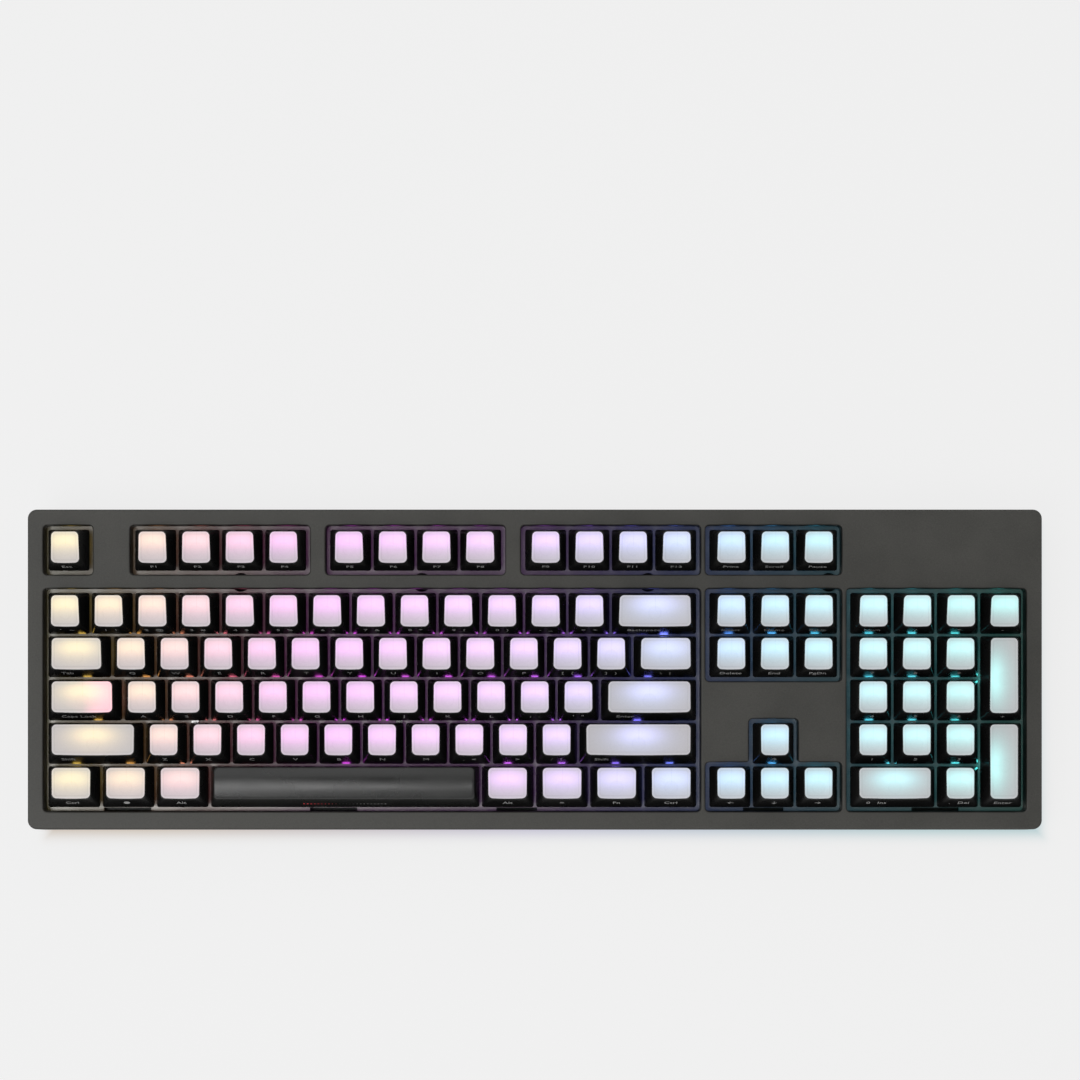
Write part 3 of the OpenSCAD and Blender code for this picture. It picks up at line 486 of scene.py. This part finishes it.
def ring(half_width, front, back, radius, steps=RING_STEPS):
    """Points round a rounded rectangle, anticlockwise from the middle of its front left corner."""
    low, high = front + radius, back - radius
    wide = half_width - radius
    centres = np.array([(-wide, low), (wide, low), (wide, high), (-wide, high)])
    points = []
    for side in range(4):
        start, end = centres[side], centres[(side + 1) % 4]
        for j in range(2 * steps):
            s = j / (2 * steps)
            turn = 225 + 90 * side + 45 * min(s / ARC_SHARE, 1) + 45 * max((s - 1) / ARC_SHARE + 1, 0)
            along = min(max((s - ARC_SHARE) / (1 - 2 * ARC_SHARE), 0), 1)
            a = math.radians(turn)
            points.append(start + (end - start) * along + radius * np.array((math.cos(a), math.sin(a))))
    return np.array(points)


def ring_place(i, j):
    """Where grid point (i, j) stands in its square ring's order."""
    k = max(abs(i), abs(j))
    if j == -k and i < k:
        return i + k
    if i == k and j < k:
        return 3 * k + j
    if j == k and i > -k:
        return 5 * k - i
    return 7 * k - j


def grid_faces(steps, first, flip=False):
    """Quads over a disc of square rings stored from the centre outwards, starting at point first."""
    def index(i, j):
        k = max(abs(i), abs(j))
        return first + (0 if k == 0 else 1 + 4 * k * (k - 1) + ring_place(i, j))
    faces = []
    for i in range(-steps, steps):
        for j in range(-steps, steps):
            face = (index(i, j), index(i + 1, j), index(i + 1, j + 1), index(i, j + 1))
            faces.append(face[::-1] if flip else face)
    return faces


def bridge(rings, closed=False):
    """Quads between rings, given as (first point, count), each pair in turn."""
    faces = []
    pairs = list(zip(rings, rings[1:] + rings[:1] if closed else rings[1:]))
    for (a, n), (b, _) in pairs:
        faces += [(a + i, a + (i + 1) % n, b + (i + 1) % n, b + i) for i in range(n)]
    return faces


# ---- keycaps ----

DISH = 0.9  # how deep the top is hollowed along its middle
RIM = 0.3  # width of the black edge round the light-passing top
RIM_RADIUS = 1.9
BASE_RADIUS = 1.1
EDGE_ROUND = 0.3  # radius of the top's outer edge
SLAB = 1.3  # depth of the pocket that holds the light-passing top
FRONT_DISH = 2.0  # how far behind the top's front edge the hollow bends that edge
WALL_SHARES = (0.015, 0.12, 0.3, 0.6)  # heights of a wall's rings, from base 0 to top 1
BASE_INSET = 0.15  # how much the wall's lower edge is rounded off
LEGEND_SIZE = 3.6
LEGEND_MARGIN = 6.5
LEGEND_RAISE = 0.02
LEGEND_HEIGHT = 0.52  # up the front wall
BESIDE = 22.0  # the softer light further down a top comes from lamps this far to the right
LAMP_SHARE, BESIDE_SHARE = 0.75, 0.42
SPILL = (0.75, 0.16, 0.30)  # colour of the caps lock key's second lamp
WINDOW_INSETS = (4.6, 3.3, 2.3, 1.5, 1.2, 0.9, 0.2, 0.0)  # of each ring from the centre outwards
WINDOW_GAP = 0.02  # between the light-passing top and its black edge
WINDOW_CHAMFER = 0.1
MIDDLE_EDGE = 5.0  # edge attribute of points far from the rim
SOCKET_RADIUS = 2.75
SOCKET_SIDES = 24
SOCKET_LOW = 6.65 - CAP_BASE
SOCKET_DEPTH = 3.8
CROSS = (4.1, 1.3)
SHORT_REACH, SPACE_REACH = 11.938, 50.0  # from a long key's middle to its stabilizers' inserts
STEM_REACH = 2.0  # a stem or insert reaches at least this far below its keycap's base


def dish(key, points):
    """How far the hollowed top lies below its straight edges."""
    return DISH * (1 - np.clip(points[:, 0] / (key.half_width - CAP_SIDE_INSET), -1, 1) ** 2)


def top_ring(key, inset, drop, steps=RING_STEPS):
    """A ring on the keycap's top, drawn in by inset and lowered by drop."""
    wide = key.half_width - CAP_SIDE_INSET - inset
    radius = max(RIM_RADIUS + RIM - inset, 0.3) * min(1, wide / 3)
    flat = ring(wide, key.front + inset, key.back - inset, radius, steps)
    height = key.top(flat[:, 1])
    flat[:, 0] *= (key.half_width - key.lean * height - inset) / wide
    below = dish(key, flat)
    front_slope = (key.front + key.half_depth) / key.front_height
    at_front = np.clip((key.front + FRONT_DISH - flat[:, 1]) / FRONT_DISH, 0, 1)
    flat[:, 1] -= below * front_slope * at_front
    return np.column_stack([flat, height - below - drop])


def wall_ring(key, share, inset=0.0, radius=BASE_RADIUS):
    """A ring on the keycap's outer wall, from its base, share 0, to its top, share 1."""
    base = ring(key.half_width - inset, -key.half_depth + inset, key.half_depth - inset, radius)
    base = np.column_stack([base, np.zeros(len(base))])
    return base + (top_ring(key, inset, 0.0) - base) * share


def stack(rings):
    """Joins rings into one list of points and says where each begins."""
    starts, count = [], 0
    for r in rings:
        starts.append((count, len(r)))
        count += len(r)
    return np.vstack(rings), starts


def place_on_keyboard(key, points):
    """A key's own points, moved to where the key stands."""
    return points + np.array((key.u, key.v, CAP_BASE))


def legend_mesh(key):
    """The key's legend on its front wall, as thin raised print: points and faces."""
    text = LEGENDS.get(key.name, key.name.upper())
    if not text:
        return np.zeros((0, 3)), []
    curve = bpy.data.curves.new("legend", "FONT")
    curve.body = text
    curve.size = LEGEND_SIZE
    at_left = key.name in LEGENDS_AT_LEFT
    curve.align_x, curve.align_y = "LEFT" if at_left else "CENTER", "CENTER"
    curve.extrude = LEGEND_RAISE
    curve.resolution_u = 2
    holder = bpy.data.objects.new("legend", curve)
    mesh = holder.to_mesh()
    points = np.array([v.co for v in mesh.vertices], float).reshape(-1, 3)
    faces = [tuple(p.vertices) for p in mesh.polygons]
    holder.to_mesh_clear()
    bpy.data.objects.remove(holder)
    bpy.data.curves.remove(curve)
    foot, head = np.array((0, -key.half_depth, 0)), np.array((0, key.front, key.front_height))
    up = (head - foot) / np.linalg.norm(head - foot)
    outward = np.cross((1, 0, 0), up)
    shift = LEGEND_MARGIN - key.half_width if at_left else 0.0
    middle = foot + (head - foot) * LEGEND_HEIGHT + outward * LEGEND_RAISE * 0.6
    return middle + np.outer(points[:, 0] + shift, (1, 0, 0)) + np.outer(points[:, 1], up) \
        + np.outer(points[:, 2], outward), faces


def rounded_edge(top, under, inner, steps):
    """Rings that turn the sharp edge top into a round one, from the ring under it to the inner one."""
    rings = []
    for turn in (math.radians(90 * i / steps) for i in range(steps + 1)):
        rings.append(top + (under - top) * (1 - math.sin(turn)) + (inner - top) * (1 - math.cos(turn)))
    return rings


def shell_rings(key):
    """Rings of a keycap's outer wall and rounded upper edge, from the base to the flat of the rim."""
    rings = [wall_ring(key, 0.0, BASE_INSET, BASE_RADIUS - 0.1)]
    rings += [wall_ring(key, share) for share in (*WALL_SHARES, 0.9)]
    height = (key.back_height + key.front_height) / 2
    top, under = top_ring(key, 0, 0), wall_ring(key, 1 - EDGE_ROUND / height)
    inner = top_ring(key, EDGE_ROUND, 0)
    rings += rounded_edge(top, under, inner, 3)
    return rings + [top_ring(key, RIM, 0)]


def keycap_shell(key, body, replaced):
    """The black part of a keycap: outer walls, rim, pocket for the top and hollow inside."""
    rings = shell_rings(key)
    rings += [top_ring(key, RIM, SLAB), top_ring(key, CAP_WALL, SLAB)]
    base = ring(key.half_width - CAP_WALL, -key.half_depth + CAP_WALL, key.half_depth - CAP_WALL, 0.6)
    rings.append(np.column_stack([base, np.zeros(len(base))]))
    points, starts = stack(rings)
    faces = bridge(starts, closed=True)
    letters, letter_faces = legend_mesh(key)
    letter_faces = [tuple(i + len(points) for i in f) for f in letter_faces]
    indices = [0] * len(faces) + [1] * len(letter_faces)
    points = np.vstack([points, letters])
    return add_piece(f"key_{key.name}_cap", place_on_keyboard(key, points), faces + letter_faces,
                     [KEY_BLACK, LEGEND], body, replaced, indices)


def reach_places(key):
    """Middles of the sockets under a key: one for the switch and two for a long key's stabilizer."""
    places = [(0.0, 0.0)]
    if key.long:
        reach = SPACE_REACH if key.width > 4 else SHORT_REACH
        places += [(0, s * reach) if key.upright else (s * reach, 0) for s in (-1, 1)]
    return places


def socket_mesh(key, place, top):
    """A round socket with a cross-shaped hole that grips the stem: points and faces."""
    n = SOCKET_SIDES
    angles = [2 * math.pi * i / n for i in range(n)]
    circle = [(SOCKET_RADIUS * math.cos(a), SOCKET_RADIUS * math.sin(a)) for a in angles]
    long_side, short_side = CROSS[0] / 2, CROSS[1] / 2
    quarter = [(long_side, -short_side), (long_side, short_side), (short_side, short_side)]
    cross = []
    for q in range(4):
        c, s = (1, 0, -1, 0)[q], (0, 1, 0, -1)[q]
        cross += [(x * c - y * s, x * s + y * c) for x, y in quarter]
    roof = SOCKET_LOW + SOCKET_DEPTH
    low = [(x, y, SOCKET_LOW) for x, y in circle] + [(x, y, SOCKET_LOW) for x, y in cross]
    points = low + [(x, y, top) for x, y in circle] + [(x, y, roof) for x, y in cross]
    outer, inner = list(range(n)), list(range(n, n + 12))
    high, deep = [i + n + 12 for i in outer], [i + n + 12 for i in inner]
    ends = tessellate_polygon([[Vector((*p, 0)) for p in circle], [Vector((*p, 0)) for p in cross]])
    faces = [tuple(t) for t in ends] + [tuple(high), tuple(deep)[::-1]]
    faces += [(outer[i], outer[(i + 1) % n], high[(i + 1) % n], high[i]) for i in range(n)]
    faces += [(inner[(i + 1) % 12], inner[i], deep[i], deep[(i + 1) % 12]) for i in range(12)]
    return np.array(points) + np.array((*place, 0)), faces


def with_sockets(key, points, faces, top):
    """A key's points and faces with those of its sockets, which reach up to top."""
    for place in reach_places(key):
        more, more_faces = socket_mesh(key, place, top)
        faces = faces + [tuple(i + len(points) for i in f) for f in more_faces]
        points = np.vstack([points, more])
    return points, faces


def keycap_window(key, body, replaced):
    """The milky top of a keycap with the sockets under it."""
    middle = (key.front + key.back) / 2
    rings, edges = [np.array([(0, middle, key.top(middle) - DISH)])], [MIDDLE_EDGE]
    for k, inset in enumerate(WINDOW_INSETS, 1):
        rings.append(top_ring(key, RIM + WINDOW_GAP + inset, 0 if inset else WINDOW_CHAMFER, k))
        edges += [inset] * (8 * k)
    steps = len(WINDOW_INSETS)
    upper = np.vstack(rings)
    lower = upper - (0, 0, SLAB - WINDOW_CHAMFER)
    count, last = len(upper), 8 * steps
    points = np.vstack([upper, lower])
    faces = grid_faces(steps, 0) + grid_faces(steps, count, flip=True)
    faces += bridge([(2 * count - last, last), (count - last, last)])
    slab_points = len(points)
    points, faces = with_sockets(key, points, faces, key.top(0) - DISH - 0.6)
    x, y = points[:, 0], points[:, 1]
    spot = np.column_stack([y, -x, 0 * x] if key.upright else [x, y, 0 * x])
    edge = edges + edges + [MIDDLE_EDGE] * (len(points) - slab_points)
    lamp = [(*[LAMP_SHARE * c for c in lamp_colour(key.u)], 1)] * len(points)
    beside = [(*[BESIDE_SHARE * c for c in lamp_colour(key.u + BESIDE)], 1)] * len(points)
    spill = [(*spill_colour(key, u), 1) for u in x]
    return add_piece(f"key_{key.name}_top", place_on_keyboard(key, points), faces, [MILKY], body,
                     replaced, None,
                     [("spot", "FLOAT_VECTOR", spot), ("edge", "FLOAT", edge),
                      ("lamp", "FLOAT_COLOR", lamp), ("beside", "FLOAT_COLOR", beside),
                      ("spill", "FLOAT_COLOR", spill)])


def spill_colour(key, u):
    """Light from a second lamp, which reddens the right half of the caps lock key."""
    share = min(max((u + 1) / 7, 0), 1) if key.name == "caps_lock" else 0.0
    return [share * c for c in SPILL]


def stems(body, node):
    """The stems and stabilizer sliders of a keycap node, taken out of its CAD mesh as they are."""
    source = bmesh.new()
    source.from_mesh(NODES[node].data)
    bmesh.ops.remove_doubles(source, verts=source.verts, dist=1e-6)
    source.verts.ensure_lookup_table()
    seen, kept = set(), []
    for start in source.verts:
        if start.index in seen:
            continue
        island, queue = [], [start]
        seen.add(start.index)
        while queue:
            v = queue.pop()
            island.append(v)
            for e in v.link_edges:
                other = e.other_vert(v)
                if other.index not in seen:
                    seen.add(other.index)
                    queue.append(other)
        if min((UNSLOPE @ v.co).z for v in island) < CAP_BASE - STEM_REACH:
            kept.append(island)
    number = {}
    points, faces = [], []
    for island in kept:
        for v in island:
            number[v.index] = len(points)
            points.append(UNSLOPE @ v.co)
    for f in source.faces:
        if f.verts[0].index in number:
            faces.append(tuple(number[v.index] for v in f.verts))
    source.free()
    return add_piece(f"{body}_stems", np.array(points), faces, [STEM], body)


def build_keys():
    """Every keycap, top and group of stems, on the bodies that carry their CAD nodes."""
    for body, layout in KEYS.items():
        nodes = [n for n in BODIES[body] if n.endswith(("_cap", "_caps", "space_bar"))]
        windows = [n for n in BODIES[body] if n.endswith(("_window", "_windows"))]
        stems(body, nodes[0])
        for spec in layout:
            key = Key(*spec)
            if key.name == "space":
                build_space_bar(key, body, nodes)
                continue
            keycap_shell(key, body, nodes)
            keycap_window(key, body, windows)


# ---- space bar ----

SPACE_CROWN = 1.2
SPACE_LOW = 7.2  # height of the space bar's long top edges above its base
SPACE_EDGE_SHARE, SPACE_EDGE_INSET = 0.93, 0.6  # where the round upper edge starts and ends
SPACE_DISC_RIM, SPACE_DISC_DEPTH = 1.1, 4.6  # insets of the outermost and, further in, the first ring
SPACE_ROOF_SHARE = 0.8  # height of the hollow's roof, from base 0 to top 1
DOT_COUNT = 24
DOT_SIDES = 8
DOT_SPACING = 1.55
DOT_RADIUS = 0.32
DOT_LIFT = 0.05
DOT_HEIGHT = 0.4  # up the front wall


def space_top(key, inset, steps=RING_STEPS):
    """A ring on the space bar's crowned top."""
    wide = key.half_width - key.lean * SPACE_LOW - inset
    flat = ring(wide, key.front + inset, key.back - inset, max(RIM_RADIUS - inset, 0.3), steps)
    return crowned(key, flat)


def crowned(key, flat):
    """Points of the plan raised onto the space bar's arched top."""
    across = np.clip((flat[:, 1] - key.front) / (key.back - key.front), 0, 1)
    return np.column_stack([flat, SPACE_LOW + SPACE_CROWN * np.sin(np.pi * across)])


def space_wall(key, share, inset=0.0):
    """A ring on the space bar's outer wall, from its base, share 0, to its top, share 1."""
    base = ring(key.half_width - inset, -key.half_depth + inset, key.half_depth - inset, BASE_RADIUS)
    base = np.column_stack([base, np.zeros(len(base))])
    return base + (space_top(key, inset) - base) * share


def build_space_bar(key, body, nodes):
    """The space bar as one closed moulding: walls, crowned top and hollow inside, with sockets.

    The crowned top and the hollow's flat roof are the same disc of square rings."""
    steps = RING_STEPS
    rings = [space_wall(key, 0.0, BASE_INSET)] + [space_wall(key, share) for share in (*WALL_SHARES, 0.85)]
    under, inner = space_wall(key, SPACE_EDGE_SHARE), space_top(key, SPACE_EDGE_INSET)
    rings += rounded_edge(space_wall(key, 1.0), under, inner, 4)
    points, starts = stack(rings)
    middle = crowned(key, np.array([(0.0, (key.front + key.back) / 2)]))
    insets = [SPACE_DISC_RIM + SPACE_DISC_DEPTH * (1 - k / steps) for k in range(1, steps + 1)]
    disc = np.vstack([middle] + [space_top(key, inset, k) for k, inset in enumerate(insets, 1)])
    faces = bridge([starts[-1], (len(points) + len(disc) - 8 * steps, 8 * steps)]) + bridge(starts)
    faces += grid_faces(steps, len(points))
    points = np.vstack([points, disc])
    hollow = [space_wall(key, SPACE_ROOF_SHARE, CAP_WALL), space_wall(key, 0.0, CAP_WALL)]
    roof = disc * (0.97, 0.9, 0) + (0, 0, hollow[0][:, 2].min())
    faces += grid_faces(steps, len(points), flip=True)
    points = np.vstack([points, roof])
    roof_edge = (len(points) - 8 * steps, 8 * steps)
    more, hollow_starts = stack(hollow)
    hollow_starts = [(a + len(points), n) for a, n in hollow_starts]
    points = np.vstack([points, more])
    faces += bridge([roof_edge, *hollow_starts, starts[0]])
    points, faces = with_sockets(key, points, faces, SPACE_LOW - 1.0)
    body_faces = len(faces)
    dots, dot_faces = dotted_line(key)
    faces += [tuple(i + len(points) for i in f) for f in dot_faces]
    along = np.concatenate([np.zeros(len(points)), dot_values(len(dots))])
    points = np.vstack([points, dots])
    return add_piece("key_space_bar", place_on_keyboard(key, points), faces, [SPACE_BLACK, DOTS], body,
                     nodes, [0] * body_faces + [1] * len(dot_faces),
                     [("along", "FLOAT", along)])


def dotted_line(key):
    """A plain row of round dots along the space bar's front wall."""
    foot, head = np.array((0, -key.half_depth, 0)), np.array((0, key.front, SPACE_LOW))
    up = (head - foot) / np.linalg.norm(head - foot)
    outward = np.cross((1, 0, 0), up)
    points, faces = [], []
    for d in range(DOT_COUNT):
        u = (d - (DOT_COUNT - 1) / 2) * DOT_SPACING
        centre = foot + (head - foot) * DOT_HEIGHT + np.array((u, 0, 0))
        first = len(points)
        for lift in (-DOT_LIFT, DOT_LIFT):
            for i in range(DOT_SIDES):
                a = 2 * math.pi * i / DOT_SIDES
                points.append(centre + DOT_RADIUS * (math.cos(a) * np.array((1, 0, 0)) + math.sin(a) * up)
                              + outward * lift)
        low = list(range(first, first + DOT_SIDES))
        high = [i + DOT_SIDES for i in low]
        faces += [tuple(low[::-1]), tuple(high)]
        faces += [(low[i], low[(i + 1) % DOT_SIDES], high[(i + 1) % DOT_SIDES], high[i])
                  for i in range(DOT_SIDES)]
    return np.array(points), faces


def dot_values(count):
    """How far along the line each dot's points are, from 0 to 1."""
    return np.floor(np.arange(count) / (2 * DOT_SIDES)) / (DOT_COUNT - 1)


# ---- case ----

CASE_TOP = 9.0  # height of the case's top surface above the plate
SKIN = 2.5  # thickness of the shell
PARTING_HEIGHT = 13.0  # above the table, where the upper and lower shells meet
CASE_EDGE = 0.8  # radius of the rounded edges
EDGE_STEPS = 6
CORNER_RADIUS = 4.0
CORNER_STEPS = 10
OPENING_RADIUS = 1.8
OPENING_MARGIN = 1.3  # free space round the key cells inside each opening
COLLAR = 1.0  # thickness of the wall that runs down round each opening
COLLAR_LOW = 0.4  # height of its lower edge above the plate
FILLET = 1.2  # radius of an opening's inward corners


def outline(corners, radius, grow=0.0):
    """A closed line round a right-angled outline, moved out by grow, with an arc at each corner."""
    corners = [np.array(c, float) for c in corners]
    points = []
    for i, corner in enumerate(corners):
        before = corner - corners[i - 1]
        after = corners[(i + 1) % len(corners)] - corner
        before, after = before / np.linalg.norm(before), after / np.linalg.norm(after)
        outward = np.array((before[1], -before[0])) + np.array((after[1], -after[0]))
        convex = before[0] * after[1] - before[1] * after[0] > 0
        r = radius + grow if convex else max(FILLET - grow, 0.15)
        centre = corner + outward * grow - before * r + after * r
        for k in range(CORNER_STEPS + 1):
            a = math.pi / 2 * k / CORNER_STEPS
            points.append(centre - after * r * math.cos(a) + before * r * math.sin(a))
    return np.array(points)


def box_corners(left, right, front, back):
    """A rectangle's corners, anticlockwise from the front left one."""
    return [(left, front), (right, front), (right, back), (left, back)]


def opening_corners():
    """The corners of each opening for the keys, in slope millimetres, anticlockwise."""
    def edges(left, right, first_row, last_row):
        half = LAYOUT_UNITS / 2
        return ((left - half) * PITCH - OPENING_MARGIN, (right - half) * PITCH + OPENING_MARGIN,
                ROW_V[last_row] - PITCH / 2 - OPENING_MARGIN, ROW_V[first_row] + PITCH / 2 + OPENING_MARGIN)
    plain = [(0, 1, 0, 0), (2, 6, 0, 0), (6.5, 10.5, 0, 0), (11, 15, 0, 0), (15.25, 18.25, 0, 0),
             (0, 15, 1, 5), (15.25, 18.25, 1, 2), (18.5, 22.5, 1, 5)]
    found = [box_corners(*edges(*o)) for o in plain]
    left, right, front, shoulder = edges(15.25, 18.25, 5, 5)
    inner_left, inner_right, _, back = edges(16.25, 17.25, 4, 4)
    found.append([(left, front), (right, front), (right, shoulder), (inner_right, shoulder),
                  (inner_right, back), (inner_left, back), (inner_left, shoulder), (left, shoulder)])
    return found


def case_half_sizes():
    """Half the case's width and depth in millimetres."""
    low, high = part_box("bottom_case")
    return (high.x - low.x) / 2 / MM, (high.y - low.y) / 2 / MM


def skin_height(y, w):
    """Height in millimetres, square to the table, of the plane w at a distance y from the middle."""
    return PLATE_HEIGHT / MM + w / math.cos(SLOPE_ANGLE) + y * math.tan(SLOPE_ANGLE)


def upper_case():
    """The upper shell: rounded skin with collared openings, closed underneath by its inner faces."""
    half_width, half_depth = case_half_sizes()
    corners = box_corners(-half_width, half_width, -half_depth, half_depth)
    turns = [math.pi / 2 * k / EDGE_STEPS for k in range(EDGE_STEPS + 1)]
    edge = [(CASE_EDGE * (1 - math.sin(a)), CASE_EDGE * (1 - math.cos(a))) for a in turns]
    outer = []
    for inset, drop in edge:
        flat = outline(corners, CORNER_RADIUS, -inset)
        outer.append(np.column_stack([flat, skin_height(flat[:, 1], CASE_TOP) - drop]))
    for inset in (0, SKIN):
        flat = outline(corners, CORNER_RADIUS, -inset)
        outer.append(np.column_stack([flat, np.full(len(flat), PARTING_HEIGHT)]))
    flat = outline(corners, CORNER_RADIUS, -SKIN)
    outer.append(np.column_stack([flat, skin_height(flat[:, 1], CASE_TOP - SKIN)]))
    outer = [to_slope(r * MM) for r in outer]
    stacks = [outer]
    for opening in opening_corners():
        loops = [np.column_stack([outline(opening, OPENING_RADIUS, inset),
                                  np.full(len(opening) * (CORNER_STEPS + 1), CASE_TOP - drop)])
                 for inset, drop in edge]
        for grow, w in ((0, COLLAR_LOW), (COLLAR, COLLAR_LOW), (COLLAR, CASE_TOP - SKIN)):
            flat = outline(opening, OPENING_RADIUS, grow)
            loops.append(np.column_stack([flat, np.full(len(flat), w)]))
        stacks.append(loops)
    points, faces, top_loops, inner_loops = np.zeros((0, 3)), [], [], []
    for loops in stacks:
        more, starts = stack(loops)
        starts = [(a + len(points), n) for a, n in starts]
        points = np.vstack([points, more])
        faces += bridge(starts)
        top_loops.append(starts[0])
        inner_loops.append(starts[-1])
    for loops in (top_loops, inner_loops):
        index = [a + i for a, n in loops for i in range(n)]
        flat = [[Vector((points[a + i][0], points[a + i][1], 0)) for i in range(n)] for a, n in loops]
        faces += [tuple(index[i] for i in t) for t in tessellate_polygon(flat)]
    # edge is 0 on the flat top and rises over the rounded edge to 1 on the walls, where the case's painted shade
    # is darkest
    edges = [min(k / EDGE_STEPS, 1) for loops in stacks for k, r in enumerate(loops) for _ in r]
    obj = add_piece("upper_case", points, faces, [CASE], "case", ["top_case"],
                    values=[("edge", "FLOAT", edges)])
    tidy = bmesh.new()
    tidy.from_mesh(obj.data)
    bmesh.ops.recalc_face_normals(tidy, faces=tidy.faces)
    tidy.to_mesh(obj.data)
    tidy.free()
    weighted = obj.modifiers.new("weighted", "WEIGHTED_NORMAL")
    weighted.keep_sharp = True
    return obj


# ---- stage ----

CAMERA_DISTANCE = 1.15
VIEW_WIDTH = 0.4737  # what the picture takes in across the case's top
SHIFT = (0.0048, 0.1223)
SKY_SIDE, SKY_TOP = 0.62, 0.16
FLOOR_SIZE = 12  # metres
FLOOR_LIGHT = 0.807
FLOOR_SHADE = [(0.25, 0.33, 0.41), (0.31, 0.325, 0.205), (0.43, 0.265, 0.24)]  # left, middle, right
FLOOR_OFFSET = (0.0045, -0.0035)  # of the shade from the middle of the case
SHADE_PEAK, SHADE_WIDTH = -0.0047, 0.0044  # where the shade is strongest and how fast it fades


def build_camera():
    """Looks straight down on the plate from above the middle of the case."""
    data = bpy.data.cameras.new("camera")
    data.lens = data.sensor_width * CAMERA_DISTANCE / VIEW_WIDTH
    data.shift_x, data.shift_y = SHIFT
    data.clip_end = 20
    camera = bpy.data.objects.new("camera", data)
    bpy.context.scene.collection.objects.link(camera)
    back, front = (to_slope(np.array([(0, s * case_half_sizes()[1] * MM, 0)]))[0][1] for s in (1, -1))
    top_middle = SLOPE @ Vector((0, (back + front) / 2 + CASE_TOP * math.tan(SLOPE_ANGLE), CASE_TOP))
    camera.matrix_world = Matrix.Translation(top_middle + NORMAL * CAMERA_DISTANCE) @ AXES
    bpy.context.scene.camera = camera


def softbox(name, place, size, power):
    """A soft lamp above the keyboard, placed in slope millimetres and aimed at the plate's middle."""
    data = bpy.data.lights.new(name, "AREA")
    data.shape = "RECTANGLE"
    data.size, data.size_y = size
    data.energy = power
    light = bpy.data.objects.new(name, data)
    light.location = SLOPE @ Vector(place)
    light.rotation_euler = (-light.location).to_track_quat("-Z", "Y").to_euler()
    bpy.context.scene.collection.objects.link(light)


def build_world():
    """Even studio light that is weaker straight above, where the camera stands."""
    world = bpy.data.worlds.new("world")
    world.use_nodes = True
    tree = world.node_tree
    direction = tree.nodes.new("ShaderNodeTexCoord")
    split = tree.nodes.new("ShaderNodeSeparateXYZ")
    strength = tree.nodes.new("ShaderNodeMapRange")
    tree.links.new(direction.outputs["Generated"], split.inputs[0])
    tree.links.new(split.outputs["Z"], strength.inputs["Value"])
    for socket, value in zip(("From Min", "From Max", "To Min", "To Max"), (0.55, 0.97, SKY_SIDE, SKY_TOP)):
        strength.inputs[socket].default_value = value
    tree.links.new(strength.outputs["Result"], tree.nodes["Background"].inputs["Strength"])
    tree.nodes["Background"].inputs["Color"].default_value = (1.0, 1.0, 1.0, 1)
    bpy.context.scene.world = world


def floor_material():
    """A pale floor, even in tone, with the faint coloured shade of the backlight close to the case."""
    s = Shader("pale_floor", Roughness=0.8, Specular_IOR_Level=0.1)
    split = s.node("ShaderNodeSeparateXYZ")
    s.link(s.place(), split.inputs[0])
    outside = []
    for axis, half, offset in zip("XY", case_half_sizes(), FLOOR_OFFSET):
        away = s.maths("ABSOLUTE", s.maths("SUBTRACT", split.outputs[axis], offset))
        outside.append(s.maths("SUBTRACT", away, half * MM))
    past = [s.maths("MAXIMUM", q, 0.0) for q in outside]
    squares = [s.maths("MULTIPLY", q, q) for q in past]
    away = s.maths("ADD", s.maths("SQRT", s.maths("ADD", *squares)),
                   s.maths("MINIMUM", s.maths("MAXIMUM", *outside), 0.0))
    fall = s.bell(away, SHADE_PEAK, SHADE_WIDTH)
    ramp = s.node("ShaderNodeValToRGB")
    ramp.color_ramp.elements.new(0.5)
    half = LAYOUT_UNITS * PITCH / 2 * MM
    s.link(s.spread(split.outputs["X"], -half, half), ramp.inputs["Fac"])
    for stop, place, colour in zip(ramp.color_ramp.elements, (0.1, 0.5, 0.9), FLOOR_SHADE):
        stop.position = place
        stop.color = (*[1 - c for c in colour], 1)
    shade = s.blend(fall, (1.0, 1.0, 1.0), ramp.outputs["Color"])
    tone = s.blend(s.spread(s.noise(0.3, 2), 0.3, 0.7), (0.078, 0.078, 0.078), (0.082, 0.082, 0.082))
    return s.finish(Base_Color=s.blend(1.0, tone, shade, "MULTIPLY"), Emission_Color=shade,
                    Emission_Strength=FLOOR_LIGHT)


def build_stage():
    """The floor, the studio light and two softboxes."""
    bpy.ops.mesh.primitive_grid_add(x_subdivisions=8, y_subdivisions=8, size=FLOOR_SIZE)
    floor = bpy.context.object
    floor.name = "floor"
    floor.data.materials.append(floor_material())
    build_world()
    softbox("key_light", (-480, -380, 1300), (0.7, 0.8), 6.5)
    softbox("back_light", (-250, 600, 1300), (1.2, 0.6), 2.0)
    bpy.context.scene.view_settings.view_transform = "Standard"


paint_cad_nodes()
build_camera()
build_stage()
upper_case()
build_keys()
